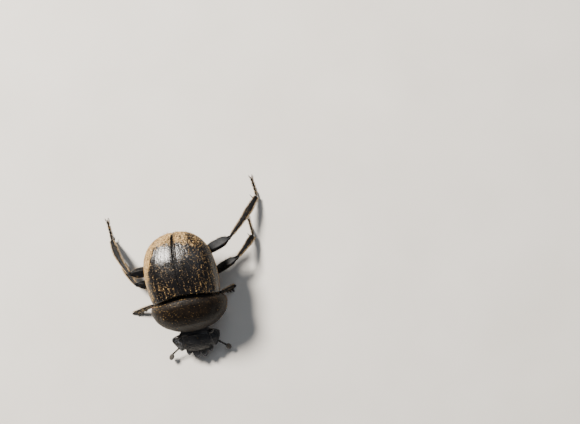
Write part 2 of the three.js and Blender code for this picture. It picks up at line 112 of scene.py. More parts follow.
def profile(*points):
    """A smooth curve through a few (place, value) pairs that never overshoots them."""
    xs, ys = np.array(points, float).T
    slope = np.diff(ys) / np.diff(xs)
    before, after = np.append(slope[0], slope), np.append(slope, slope[-1])
    same = before * after > 0
    tangent = np.where(same, 2 * before * after / np.where(same, before + after, 1), 0)

    def curve(place):
        s = np.clip(place, xs[0], xs[-1])
        i = np.clip(np.searchsorted(xs, s) - 1, 0, len(xs) - 2)
        width = xs[i + 1] - xs[i]
        t = (s - xs[i]) / width
        rise = (3 - 2 * t) * t * t
        bow = tangent[i] * t * (1 - t) ** 2 - tangent[i + 1] * t * t * (1 - t)
        return ys[i] * (1 - rise) + ys[i + 1] * rise + width * bow

    return curve


def dome(u, fullness, shoulder):
    return (1 - np.minimum(np.abs(u), 1) ** fullness) ** (1 / shoulder)


def held(value):
    """The value kept between 0 and 1."""
    return np.clip(value, 0, 1)


def soft(value, start, stop):
    """A smooth step from 0 at start to 1 at stop."""
    t = held((value - start) / (stop - start))
    return t * t * (3 - 2 * t)


def ridge(distance, at, width):
    """A rounded line of height 1 where distance equals at."""
    return np.exp(-(((distance - at) / width) ** 2))


def lines(distance, *shapes):
    """Raised and sunk lines, each given as its height, its place along distance and its width."""
    return sum(height * ridge(distance, at, width) for height, at, width in shapes)


def sampled(function, points, size):
    """A noise function over an array of points, with features of that size."""
    flat = (points.reshape(-1, 3) / size).tolist()
    return np.array([function(Vector(p)) for p in flat]).reshape(points.shape[:-1])


def mottle(points, size, octaves=3):
    """Smooth uneven noise from about -1 to 1."""
    return sampled(lambda p: noise.fractal(p, 1.0, 2.0, octaves), points, size)


def grains(points, spacing, width):
    """Scattered round bumps of uneven height, from 0 to 1."""
    return ridge(sampled(lambda p: noise.voronoi(p)[0][0], points, spacing), 0, width)


def pitted(points, spacing=0.5, depth=0.04):
    return 0.03 * mottle(points, 2.0) - depth * grains(points, spacing, 0.25)


def run(points, axis):
    """Distance walked along one axis of a grid of points."""
    step = np.linalg.norm(np.diff(points, axis=axis), axis=-1)
    start = np.zeros_like(np.take(step, [0], axis=axis))
    return np.concatenate([start, np.cumsum(step, axis=axis)], axis=axis)


def raised(points, relief, middle):
    """A grid of points moved outwards, away from middle, by the relief."""
    normal = unit(np.cross(np.gradient(points, axis=1), np.gradient(points, axis=0)))
    normal *= np.sign(np.sum(normal * (points - middle), axis=-1, keepdims=True).mean())
    return points + normal * relief[..., None]


# ---- Meshes ----

def link(name, data):
    made = bpy.data.objects.new(name, data)
    bpy.context.scene.collection.objects.link(made)
    return made


def new_piece(name, vertices, faces, finish, replaced=()):
    """A smooth mesh that rides on the body."""
    mesh = bpy.data.meshes.new(name)
    mesh.from_pydata((vertices * MM).tolist(), [], faces)
    mesh.polygons.foreach_set("use_smooth", [True] * len(mesh.polygons))
    mesh.materials.append(finish)
    made = link(name, mesh)
    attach(made, "root")
    if replaced:
        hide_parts(*replaced)
    return mesh


def quads(rows, columns, wrap=False):
    """Faces between the points of a grid, whose last column meets its first where it wraps."""
    r = np.arange(rows - 1)[:, None] * columns
    c = np.arange(columns if wrap else columns - 1)
    beside = (c + 1) % columns
    return vectors(r + c, r + beside, r + columns + beside, r + columns + c).reshape(-1, 4).tolist()


class Build:
    """Vertices, faces and vertex dust-and-highlight values of one piece, gathered from several closed
    surfaces.
    """

    def __init__(self):
        self.vertices, self.faces, self.dust, self.count = [], [], [], 0

    def add(self, vertices, faces, dust, centre):
        """A closed surface round centre, whose faces are turned to look outwards."""
        about = vertices - centre
        volume = sum(
            np.dot(about[face[0]], np.cross(about[b], about[c]))
            for face in faces[:: max(1, len(faces) // 4000)] for b, c in zip(face[1:-1], face[2:])
        )
        order = -1 if volume < 0 else 1
        self.faces += [[i + self.count for i in face][::order] for face in faces]
        self.vertices.append(vertices)
        self.dust.append(dust)
        self.count += len(vertices)

    def piece(self, name, finish, slot, *replaced):
        mesh = new_piece(name, np.concatenate(self.vertices), self.faces, finish, replaced)
        layer = mesh.attributes.new("dust", "FLOAT", "POINT")
        layer.data.foreach_set("value", np.concatenate(self.dust).astype(np.float32))
        mesh.update()


def plate(build, top, depth, inset, dust, down=-LEVEL):
    """A closed plate: the grid top, a rim of that depth round its border, and a flat hidden underside."""
    rows, columns = top.shape[:2]
    index = np.arange(rows * columns).reshape(rows, columns)
    border = np.concatenate([index[0, :-1], index[:-1, -1], index[-1, :0:-1], index[:0:-1, 0]])
    flat = top.reshape(-1, 3)
    edge = flat[border]
    centre = edge.mean(axis=0) + down * depth
    inward = unit(centre - edge - ((centre - edge) @ down)[:, None] * down)
    loops = [edge + down * depth * 0.55 + inward * inset * 0.1, edge + down * depth + inward * inset]
    vertices = np.concatenate([flat, *loops, centre[None]])
    around = rows * columns + np.arange(len(border))
    rings = np.stack([border, around, around + len(border)])
    after = np.roll(rings, -1, axis=1)
    faces = quads(rows, columns)
    for k in (0, 1):
        faces += vectors(after[k], rings[k], rings[k + 1], after[k + 1]).tolist()
    faces += vectors(after[2], rings[2], len(vertices) - 1).tolist()
    dust = np.broadcast_to(dust, (rows, columns)).ravel()
    build.add(vertices, faces, np.concatenate([dust, dust[border], dust[border], [0]]), centre)


def tube(build, rings, dust=0.0):
    """A closed skin over a row of rings, capped to the middle of each end."""
    rows, columns = rings.shape[:2]
    vertices = np.concatenate([rings.reshape(-1, 3), rings[[0, -1]].mean(axis=1)])
    faces = quads(rows, columns, wrap=True)
    end = (rows - 1) * columns
    for k in range(columns):
        after = (k + 1) % columns
        faces += [[end + columns, after, k], [end + columns + 1, end + k, end + after]]
    dust = np.append(np.broadcast_to(dust, (rows, columns)), (0, 0))
    build.add(vertices, faces, dust, vertices.mean(axis=0))


def ball(build, centre, axes, rows, columns, relief=None, dust=0.0):
    """An ellipsoid with the given half-axes as the rows of axes."""
    polar, turn = np.linspace(0.04, pi - 0.04, rows)[:, None], turns(columns)
    points = vectors(np.sin(polar) * np.cos(turn), np.sin(polar) * np.sin(turn), np.cos(polar)) @ axes
    if relief is not None:
        points = points * (1 + relief(points + centre) / np.linalg.norm(points, axis=-1))[..., None]
    tube(build, points + centre, dust)


# ---- Limbs ----

class Limb:
    """A tapering limb with oval rings. t runs from its root (0) to its tip (1). The angle is 0 on the side
    of broad and 90 degrees on top, and near and far are its half-widths on broad's side and the other.
    keel above 1 flattens its faces, skew is how far its top edge stands from the middle towards broad, as a
    share of near, and lean slides the edge on broad's side towards the tip."""

    def __init__(self, start, end, broad, near, far, thick, bend=(0, 0, 0), lean=lambda t: 0 * t, keel=1.0,
                 skew=0.0, relief=lambda points, t, angle: 0 * t):
        self.start, self.end = np.array(start, float), np.array(end, float)
        self.axis = unit(self.end - self.start)
        self.across = unit(broad - self.axis * (broad @ self.axis))
        self.normal = np.cross(self.axis, self.across)
        self.normal *= 1 if self.normal @ LEVEL > 0 else -1
        self.near, self.far, self.thick, self.lean, self.relief = near, far, thick, lean, relief
        self.bend, self.keel, self.skew = np.array(bend, float), keel, skew

    def surface(self, t, angle):
        t, angle = np.broadcast_arrays(t, angle)
        c, s = (np.sign(v) * np.abs(v) ** self.keel for v in (np.cos(angle), np.sin(angle)))
        reach = np.where(c > 0, self.near(t), self.far(t)) * c + self.skew * self.near(t) * np.maximum(s, 0)
        lift = self.thick(t) / 2 * s
        slide = self.lean(t) * held(c) ** 3
        t, reach, lift, slide = (v[..., None] for v in (t, reach, lift, slide))
        middle = self.start + (self.end - self.start) * t + self.bend * 4 * t * (1 - t)
        return middle + self.across * reach + self.normal * lift + self.axis * slide

    def outwards(self, t, angle):
        """Unit directions away from the axis."""
        t, angle = np.broadcast_arrays(t, angle)
        flat = np.cos(angle) * self.thick(t) / 2
        tall = np.sin(angle) * np.where(np.cos(angle) > 0, self.near(t), self.far(t))
        return unit(self.across * flat[..., None] + self.normal * tall[..., None])

    def skin(self, build, rings, sides, dust=0.0, floor=False):
        t, angle = np.linspace(0, 1, rings)[:, None], turns(sides)
        points = self.surface(t, angle)
        points = points + self.outwards(t, angle) * self.relief(points, t, angle)[..., None]
        if floor:
            points[..., 2] = np.maximum(points[..., 2], 0)
        tube(build, points, dust(t, angle) if callable(dust) else dust)


def between(a, b, start_gap, end_gap):
    axis = unit(b - a)
    return a + axis * start_gap, b - axis * end_gap


def rounded(t):
    return np.sqrt(np.maximum(0.12, 1 - np.abs(2 * t - 1) ** 7))


# ---- Materials ----

class Finish:
    """A material in the making, whose textures lie in the piece's own space."""

    def __init__(self, name, **sockets):
        self.material = bpy.data.materials.new(name)
        self.material.use_nodes = True
        self.tree = self.material.node_tree
        self.shader = self.tree.nodes["Principled BSDF"]
        self.set(**sockets)
        self.place = self.node("TexCoord").outputs["Object"]

    def feed(self, socket, value):
        """Give a socket a value or another node's output."""
        if isinstance(value, bpy.types.NodeSocket):
            self.tree.links.new(value, socket)
        else:
            socket.default_value = value

    def set(self, **sockets):
        for key, value in sockets.items():
            self.feed(self.shader.inputs[key.replace("_", " ")], value)

    def node(self, kind, inputs=None, **settings):
        made = self.tree.nodes.new("ShaderNode" + kind)
        for key, value in settings.items():
            setattr(made, key, value)
        for key, value in (inputs or {}).items():
            self.feed(made.inputs[key], value)
        return made

    def noise(self, size, detail, roughness=0.5):
        """Noise with features of that size in millimetres."""
        return self.node("TexNoise", {
            "Vector": self.place, "Scale": 1 / (size * MM), "Detail": detail, "Roughness": roughness,
        }).outputs[0]

    def cells(self, size, **settings):
        return self.node("TexVoronoi", {"Vector": self.place, "Scale": 1 / (size * MM)}, **settings).outputs

    def maths(self, operation, *values):
        return self.node("Math", dict(enumerate(values)), operation=operation).outputs[0]

    def spread(self, value, *ends, **settings):
        """The value with its range, the first two ends, spread over the last two or over 0 to 1."""
        return self.node("MapRange", {0: value, **dict(enumerate(ends, 1))}, **settings).outputs[0]

    def mix(self, factor, a, b):
        return self.node("Mix", {0: factor, 2: a, 3: b}).outputs[0]

    def mix_colour(self, factor, a, b):
        return self.node("Mix", data_type="RGBA", inputs={0: factor, 6: a, 7: b}).outputs[2]

    def ramp(self, factor, *stops):
        made = self.node("ValToRGB", {0: factor})
        points = made.color_ramp.elements
        for point, (place, colour) in zip(points, (stops[0], stops[-1])):
            point.position, point.color = place, (*colour, 1)
        for place, colour in stops[1:-1]:
            points.new(place).color = (*colour, 1)
        return made.outputs[0]

    def bump(self, height, strength, distance, invert=False):
        made = self.node("Bump", {"Height": height, "Strength": strength, "Distance": distance * MM})
        made.invert = invert
        self.set(Normal=made.outputs[0])


# Grey for worn horn, also used as a painted highlight on lit faces: the head's right cheek, its tooth tips
# and the hind left thigh.
WEAR_AND_HIGHLIGHT_GREY = (0.2, 0.21, 0.225, 1)
SAND = ((0.2, (0.05, 0.03, 0.012)), (0.5, (0.3, 0.175, 0.06)), (0.8, (0.68, 0.45, 0.185)))
SAND_GRAIN = 0.155
SAND_ROUGHNESS = 0.95


def horn(name, dark, light, rough, grain, relief, dusty=1.0, shine=0.35, sheen=0.0):
    """Horny plate: mottled colour, fine grain in relief, and sandy dust, thicker where the piece's dust
    value is higher; some of that sand is a painted highlight along lit edges. Below zero that value leaves
    the horn grey, as wear and as a painted highlight on lit faces."""
    made = Finish(name, Sheen_Weight=sheen, Specular_IOR_Level=shine)
    broad, fine, patches = made.noise(2.5, 5, 0.6), made.noise(0.12, 3, 0.6), made.noise(0.45, 4, 0.7)
    pits, sand = made.cells(grain, feature="SMOOTH_F1"), made.cells(SAND_GRAIN)
    amount = made.node("Attribute", attribute_name="dust").outputs["Fac"]
    wear_and_highlight = made.maths("MULTIPLY", made.spread(amount, 0, -1), made.spread(fine, 0.35, 0.65))
    colour = made.mix_colour(wear_and_highlight, made.ramp(broad, (0.35, dark), (0.7, light)), WEAR_AND_HIGHLIGHT_GREY)

    chance = made.node("SeparateColor", {0: sand["Color"]}).outputs
    thick = made.maths("MULTIPLY_ADD", amount, dusty, made.maths("MULTIPLY_ADD", patches, 0.42, -0.21))
    covered = made.maths("SUBTRACT", thick, chance[0])
    grainy = made.spread(covered, -0.07, 0.07, interpolation_type="SMOOTHSTEP")
    mask = made.maths("MULTIPLY", grainy, made.spread(amount, 0, 0.3, 0.42, 1))
    sandy = made.ramp(made.mix(0.4, chance[1], patches), *SAND)
    uneven = made.maths("MULTIPLY_ADD", broad, 0.25, rough - 0.12)
    made.set(Base_Color=made.mix_colour(mask, colour, sandy),
             Roughness=made.mix(mask, uneven, SAND_ROUGHNESS))

    heaped = made.maths("MULTIPLY", mask, made.maths("SUBTRACT", 1, sand["Distance"]))
    grained = made.maths("MULTIPLY_ADD", fine, 0.45, pits["Distance"])
    made.bump(made.maths("ADD", grained, heaped), 0.8, relief)
    return made.material


def streaked(name, root, tip, rough):
    """Bristle or claw, whose colour varies in fine streaks."""
    made = Finish(name, Roughness=rough)
    fine = made.noise(0.05, 2)
    made.set(Base_Color=made.ramp(fine, (0.35, root), (0.65, tip)))
    made.bump(fine, 0.3, 0.01)
    return made.material


def faceted(name):
    """Eye: glossy near-black with fine facets."""
    made = Finish(name, Roughness=0.3, Coat_Weight=0.15, Coat_Roughness=0.1)
    facet = made.cells(0.05)["Distance"]
    made.set(Base_Color=made.ramp(facet, (0, (0.018, 0.011, 0.008)), (0.8, (0.005, 0.004, 0.004))))
    made.bump(facet, 0.5, 0.008, invert=True)
    return made.material


BLACK = (0.0035, 0.0033, 0.0036)
ELYTRA_HORN = horn("elytra_horn", BLACK, (0.007, 0.006, 0.006), 0.25, 0.16, 0.012, shine=0.42)
# The pronotum's brown tint is partly its own colour and partly a painted reflection of warm light from the
# ground.
PRONOTUM_HORN = horn(
    "pronotum_horn", (0.004, 0.003, 0.0026), (0.011, 0.007, 0.004), 0.44, 0.14, 0.026, shine=0.15)
HEAD_HORN = horn("head_horn", BLACK, (0.008, 0.008, 0.010), 0.32, 0.12, 0.02, shine=0.5)
UNDER_HORN = horn("under_horn", (0.005, 0.004, 0.004), (0.014, 0.010, 0.008), 0.5, 0.2, 0.02, 0.8, 0.2)
LEG_HORN = horn("leg_horn", BLACK, (0.006, 0.0065, 0.008), 0.38, 0.15, 0.010, 0.5, 0.09)
FEELER_HORN = horn("feeler_horn", (0.006, 0.005, 0.004), (0.017, 0.013, 0.010), 0.45, 0.08, 0.01, 0.5)
CLUB_DOWN = horn("club_down", (0.03, 0.027, 0.025), (0.075, 0.068, 0.06), 0.8, 0.05, 0.02, 0.3, sheen=0.25)
CLAW_HORN = streaked("claw_horn", (0.02, 0.009, 0.005), (0.05, 0.022, 0.012), 0.3)
EYE_GLOSS = faceted("eye_gloss")
PALE_BRISTLE = streaked("pale_bristle", (0.27, 0.18, 0.09), (0.52, 0.38, 0.21), 0.45)
RUSTY_BRISTLE = streaked("rusty_bristle", (0.09, 0.04, 0.018), (0.24, 0.12, 0.055), 0.45)
DARK_BRISTLE = streaked("dark_bristle", (0.012, 0.008, 0.007), (0.04, 0.022, 0.015), 0.35)


# ---- Pronotum ----

pronotum_half = profile(
    (0, 5.4), (0.12, 6.95), (0.28, 8.45), (0.48, 9.6), (0.78, 10.2), (0.93, 9.85), (1, 9.1))
pronotum_top = profile((0, 7.5), (0.1, 8.9), (0.3, 11.2), (0.6, 12.5), (0.8, 12.55), (1, 12.0))
pronotum_edge = profile((0, 6.1), (0.5, 5.9), (1, 6.3))


def pronotum_y(s, u):
    middle, side = (front + (hind - front) * s for front, hind in zip(PRONOTUM_FRONT, PRONOTUM_HIND))
    return middle + (side - middle) * np.abs(u) ** BOW_POWER


def pronotum_surface(s, u):
    edge = pronotum_edge(s)
    z = edge + (pronotum_top(s) - edge) * dome(u, 2.3, 2)
    return vectors(pronotum_half(s) * u, pronotum_y(s, u), z)


def make_pronotum():
    s, u = sheet(170, 330)
    level = pronotum_surface(s, u)
    x, y = np.abs(level[..., 0]), level[..., 1]
    along, down_row = run(level, 0), run(level, 1)
    side = np.minimum(down_row, down_row[:, -1:] - down_row)
    front, hind = along, along[-1:] - along
    flank = held((np.abs(u) - 0.55) / 0.4)

    relief = grains(level, 0.36, 0.34) * (0.046 + 0.01 * flank)
    relief -= grains(level + 7.3, 0.55, 0.22) * 0.02 * (1 - 0.6 * flank)
    relief += 0.05 * mottle(level, 3.0, 2) + 0.012 * mottle(level, 0.35, 2)
    # Raised beads round the margin with grooves inside them; the sides are notched, the rear is pitted.
    relief += lines(side, (0.10, 0.12, 0.13), (-0.05, 0.42, 0.14))
    relief += lines(hind, (0.07, 0.1, 0.1), (-0.06, 0.32, 0.1))
    relief += lines(front, (0.05, 0.1, 0.09), (-0.05, 0.3, 0.1))
    relief += 0.05 * np.cos(2 * pi * along / 0.52) * ridge(side, 0, 0.2)
    relief -= 0.04 * np.cos(2 * pi * down_row / 0.45) * ridge(hind, 0.32, 0.08)
    # A dimple on each side, and a faint midline.
    relief -= 0.16 * ridge(x, 7.6, 0.7) * ridge(y, -4.3, 0.9) + 0.03 * ridge(x, 0, 0.12) * held(hind / 3)
    relief *= np.clip(np.minimum(front, hind) / 0.1, 0.2, 1)

    # Thin dust, more of it on the beetle's right, where light falls, so partly painted light; and in the
    # groove along each side.
    lit_rightward = soft(-level[..., 0], -6, 5)
    dust = 0.04 * lit_rightward + 0.03 * mottle(level, 4.0) + 0.2 * ridge(side, 0.3, 0.3)
    # A pale line along the right half of the hind edge: a painted highlight on the bead where light catches
    # it.
    dust += 0.3 * lit_rightward * ridge(hind, 0.08, 0.12)
    build = Build()
    plate(build, stand(raised(level, relief, (0, -4, 4))), RIM, 0.5, dust)
    build.piece("pronotum_shell", PRONOTUM_HORN, "shell", "pronotum")


# ---- Elytra ----

WIDEST = 4.5  # y where the elytra are widest
elytra_top = profile((0.6, 10.9), (1.7, 12), (5, 11.8), (10, 10.5), (13.5, 8.5), (15.7, 6.5), (16.8, 4.72))
elytra_edge = profile((-1, 6.5), (5, 6.3), (12, 5.7), (16.8, 4.7))
CARINA = 0.9  # place of the side ridge between the seam (0) and the margin (1)
STRIAE = 8


def elytra_half(y):
    back = np.clip((y - WIDEST) / (ELYTRA_LENGTH - WIDEST), 0, 0.9995)
    front = np.maximum(0, (WIDEST - y) / 5.4)
    return ELYTRA_HALF_WIDTH * (1 - back ** 2.7) ** 0.4545 - 0.7 * front ** 2


def elytron_surface(t, u, side):
    s = np.sin(pi / 2 * t)
    mid = ELYTRA_FRONT + (ELYTRA_LENGTH - 0.03 - ELYTRA_FRONT) * s
    bow = FRONT_BOW * (1 - s) ** 1.5
    half, edge = elytra_half(mid + bow), elytra_edge(mid + bow)
    x = side * (GAP / 2 + (half - GAP / 2) * u)
    return vectors(x, mid + bow * u ** BOW_POWER, edge + (elytra_top(mid) - edge) * dome(u, 2.5, 1.9))


def elytron_dust(level, side, seam, margin, front, tail, rows, rubbed):
    """How dusty an elytron is, with a pale line along the left one's margin that is partly a painted rim
    highlight: rows holds the dust in its grooves, and rubbed is where it is clean.
    """
    x, y = level[..., 0], level[..., 1]
    worn, ragged = mottle(level, 2.2, 4), mottle(level, 0.6)
    streaks = mottle(level * (1, 0.22, 1), 0.5)
    dust = 0.02 + 0.06 * worn + 0.05 * rows + (0.2 * streaks + 0.13 * rows - 0.02) * soft(-y, -8.0, -3.5)
    if side < 0:  # a thick band along the right margin, and the rear
        band = soft(3.7 + 1.2 * worn + 0.5 * streaks - margin, -0.6, 0.8)
        dust += 1.1 * band * soft(y, 4.5, 7.5) + 0.5 * band * soft(-y, -7.5, -4.5) * (0.6 + streaks)
        dust += 0.55 * soft(y + 0.7 * worn + 0.7 * ragged, 13.4, 15.6)
    else:  # a ragged patch of dust at the rear, and a pale line along the margin, partly dust, partly a painted rim highlight
        patch = soft(y + 0.2 * x + 1.1 * worn + 0.9 * ragged, 13.8, 16.0)
        dust += (0.5 + 0.5 * worn) * patch * (1 - 0.75 * soft(x + 0.8 * worn, 3.4, 4.6))
        dust += 0.07 * soft(x, 2.5, 6.0) + 0.7 * ridge(margin, 0.1, 0.14)
    dust *= (1 - 0.95 * rubbed) * soft(front, 0.3, 0.8)
    return np.clip(dust * np.maximum(soft(seam, 0.1, 0.5), soft(-tail, -1.2, -0.3)), 0, 0.85)


def make_elytron(word, side):
    level = elytron_surface(*sheet(300, 260, 0), side)
    across, along = run(level, 1), run(level, 0)
    wide = across[:, -1:]
    seam, margin, share = across, wide - across, across / wide
    front, tail = along, along[-1:] - along
    x, y = level[..., 0], level[..., 1]
    # The right elytron is rubbed smooth and clean on its hind part, beside the seam.
    rubbed = soft(y, 9.6, 11.2) * soft(-y, -15.4, -13.2) * soft(x, -6.6, -5.0) if side < 0 else 0 * x
    hindward = soft(y, 8.5, 11.5)

    relief = 0.03 * mottle(level, 3.2, 2) + 0.010 * mottle(level, 0.3, 2)
    relief += grains(level, 0.34, 0.34) * 0.034 * (1 - 0.7 * rubbed)
    relief += 0.014 * mottle(level * (1, 0.1, 1), 0.3, 2) * hindward
    fade = held(np.minimum(front, tail) / 1.5)
    rows = 0 * x
    for k in range(1, STRIAE):
        line = (share - CARINA * k / STRIAE) * wide
        dots = 0.5 + 0.5 * np.cos(2 * pi * along / 0.55 + 2.1 * k)
        relief -= (0.016 * ridge(line, 0, 0.075) + 0.012 * ridge(line, 0, 0.1) * dots ** 3) * fade
        rows += ridge(line, 0, 0.2)
    relief += lines((share - CARINA) * wide, (0.05, 0, 0.11), (-0.04, 0.3, 0.16))
    relief += 0.07 * ridge(margin, 0.08, 0.1)
    # Along the seam a fine furrow deepens and widens towards the rear, beside a low ridge.
    furrow = hindward * soft(tail, 0.1, 2.0)
    relief += lines(seam, (-0.02 - 0.4 * furrow, 0, 0.05 + 0.12 * furrow),
                    (0.03 + 0.08 * hindward, 0.45, 0.17), (-0.03, 0.85, 0.1))
    # The swellings of the shoulder and of the rear, and the front edge turned down.
    relief += 0.22 * ridge((share - 0.78) * wide, 0, 1.0) * ridge(along, 1.6, 1.1)
    relief += 0.16 * ridge((share - 0.62) * wide, 0, 1.1) * ridge(tail, 3.4, 1.1)
    relief -= 0.42 * ridge(front, 0, 0.35)

    build = Build()
    dust = elytron_dust(level, side, seam, margin, front, tail, rows, rubbed)
    plate(build, stand(raised(level, relief, (side * 4, 7, 4))), RIM, 0.5, dust)
    if side > 0:  # the tongue that fills the seam from this side
        seam_rows = slice(3, -40, 4)
        edge = level[seam_rows, 0] * (0, 1, 1) - vectors(0, 0, 0.3 + 0.25 * hindward[seam_rows, 0])
        tube(build, stand(edge[:, None] + vectors(0.1 * np.cos(turns(8)), 0, 0.25 * np.sin(turns(8)))))
    build.piece("elytron_shell_" + word, ELYTRA_HORN, "shell", "elytron_" + word)


def make_waist():
    """The front of the middle body: an arch below the joint of pronotum and elytra, and the core that it
    rests on, seen between the plates of the underside."""
    u = np.sin(pi / 2 * np.linspace(-1, 1, 160))
    flank = np.abs(u) ** 8
    arch = elytron_surface(0 * u, np.abs(u), np.sign(u)) * (0.92, 1, 1)
    arch -= vectors(0, 0.3, 0.95 - 0.75 * flank)
    rings = arch[:, None] + vectors(0, np.cos(turns(24)), (0.9 - 0.65 * flank)[:, None] * np.sin(turns(24)))
    build = Build()
    tube(build, stand(rings + 0.05 * mottle(rings, 0.4)[..., None] * (0, 1, 1)))
    ball(build, stand((0, -0.5, 3.6)), tilted((7.4, 1.2, 1.7)), 30, 60, lambda p: pitted(p, 0.4, 0.03))
    build.piece("waist_arch", UNDER_HORN, "underside")


# ---- Plates of the underside ----

def under_plate(node, rows, half, y_of, top_of, keel_of, relief_of, columns=200, power=2.6, rim=RIM):
    """A belly plate drawn from its lower surface."""
    s, u = sheet(rows, columns)
    top, deep = top_of(s), keel_of(s)
    level = vectors(half(s) * u, y_of(s, u), deep + (top - rim - deep) * np.abs(u) ** power)
    relief, dust = relief_of(level, s, u)
    build = Build()
    top = stand(raised(level, relief, (0, level[..., 1].mean(), 7)))
    plate(build, top, rim, 0.4, dust, down=LEVEL)
    build.piece(node + "_plate", UNDER_HORN, "underside", node)


def make_prosternum():
    def relief_of(level, s, u):
        hollow = ridge(np.abs(u), 0.72, 0.16) * ridge(s, 0.3, 0.25)
        suture = ridge(np.abs(level[..., 0]), 5.4, 0.12) * held(s * 3)
        return pitted(level) - 0.08 * suture - 0.3 * hollow + 0.08 * ridge(s, 1, 0.04), 0.15 + 0.25 * hollow

    under_plate(
        "prosternum", 110, lambda s: pronotum_half(s) - 0.35,
        lambda s, u: pronotum_y(s, u) + 0.1 - 0.35 * s, lambda s: pronotum_edge(s) - RIM - GAP,
        profile((0, 4.3), (0.25, 2.2), (0.6, 1.2), (1, 1.4)), relief_of)


METASTERNUM = (0.75, 6.9)
ABDOMEN = (6.9 + GAP, 15.2)
PYGIDIUM = (ABDOMEN[1] - 0.15, ELYTRA_LENGTH - 0.43)
VENTRITES = (0.13, 0.27, 0.41, 0.56, 0.74)  # hind edges of the first belly rings, as shares of the abdomen


def belly_plate(node, rows, span, keel, relief_of, bow=0.0, inset=0.35, **shape):
    """A plate under the elytra over that span of y, with its keel's height along y."""
    def mid(s):
        return span[0] + (span[1] - span[0]) * s

    def fore(s):
        return mid(s) + bow * (1 - s)

    under_plate(
        node, rows, lambda s: elytra_half(fore(s)) - inset,
        lambda s, u: mid(s) + bow * (1 - s) * np.abs(u) ** BOW_POWER,
        lambda s: elytra_edge(fore(s)) - RIM - GAP, lambda s: keel(mid(s)), relief_of, **shape)


def metasternum_relief(level, s, u):
    x = np.abs(level[..., 0])
    relief = pitted(level, 0.48, 0.045) + lines(x, (-0.1, 0, 0.1), (-0.08, 8.6, 0.09))
    relief += lines(s, (0.12, 1, 0.03), (-0.1, 0.1, 0.02))
    relief -= 0.12 * ridge(x - 0.12 * level[..., 1], 7.0, 0.1)
    return relief, 0.12 + 0.3 * held((np.abs(u) - 0.7) / 0.3)


def abdomen_relief(level, s, u):
    relief = pitted(level, 0.5, 0.035)
    for place in VENTRITES:
        behind = (s - 0.05 * (1 - u ** 2) - place) * (ABDOMEN[1] - ABDOMEN[0])
        relief += np.where(behind < 0, 0.14 * np.exp(behind / 0.5), -0.16 * np.exp(-behind / 0.25))
    return relief, 0.12 + 0.2 * held((np.abs(u) - 0.6) / 0.4)


def pygidium_relief(level, s, u):
    return pitted(level, 0.4, 0.04) + 0.08 * ridge(np.abs(u), 0.97, 0.05), 0.3


def make_belly():
    keel = profile((-1, 1.3), (1, 0.3), (4, 0.1), (7, 0.5))
    belly_plate("metasternum", 110, METASTERNUM, keel, metasternum_relief, FRONT_BOW)
    belly_plate("abdomen", 190, ABDOMEN, profile((7, 1), (10, 1.2), (13, 2), (15.2, 3.1)), abdomen_relief)
    keel = profile((PYGIDIUM[0], 2.6), (PYGIDIUM[1], 3.7))
    belly_plate("pygidium", 60, PYGIDIUM, keel, pygidium_relief, inset=1.2, columns=120, power=2.2, rim=0.3)


# ---- Head ----

HEAD_OUTLINE = (
    (3.2, -10.1), (5.8, -10.8), (6.5, -11.4), (6.3, -12.6), (4.95, -14.95), (4.3, -14.9),
    (3.65, -14.5), (3.62, -15.85), (3.1, -16.62), (2.5, -16.3), (2.2, -15.65), (1.95, -16.6),
    (1.62, -17.5), (1.08, HEAD_FRONT), (0.55, -17.5), (0.25, -16.6),
)
MIDDLE_NOTCH = -16.05
HEAD_CENTRE = np.array([0, -13.2])
TUCK = 0.7  # how far the back of the head runs in under the pronotum
OVAL = 0.8  # the reach at which the domed oval of the head gives way to its toothed edge
OVAL_HALF = (6.1, 2.85)
OVAL_SHARE = 0.92  # how much of the head's fall from its middle to its edge lies within the oval
HEAD_COLUMNS = 612
CHEEK_LINE = np.array([[4.15, -14.4], [3.75, -11.0]])


def head_rim(y):
    return 5.8 - 1.8 * (HEAD_REAR - y) / (HEAD_REAR - HEAD_FRONT)


def smooth_loop(points, count, tight=0.42):
    """A closed smooth curve through the points."""
    each = count // len(points)
    t = np.linspace(0, 1, each, endpoint=False)[None, :, None]
    p0, p1, p2, p3 = (np.roll(points, back, 0)[:, None, :] for back in (1, 0, -1, -2))
    m1, m2 = tight * (p2 - p0), tight * (p3 - p1)
    curve = (
        (2 * t ** 3 - 3 * t ** 2 + 1) * p1 + (t ** 3 - 2 * t ** 2 + t) * m1
        + (3 * t ** 2 - 2 * t ** 3) * p2 + (t ** 3 - t ** 2) * m2
    )
    return curve.reshape(-1, 2)


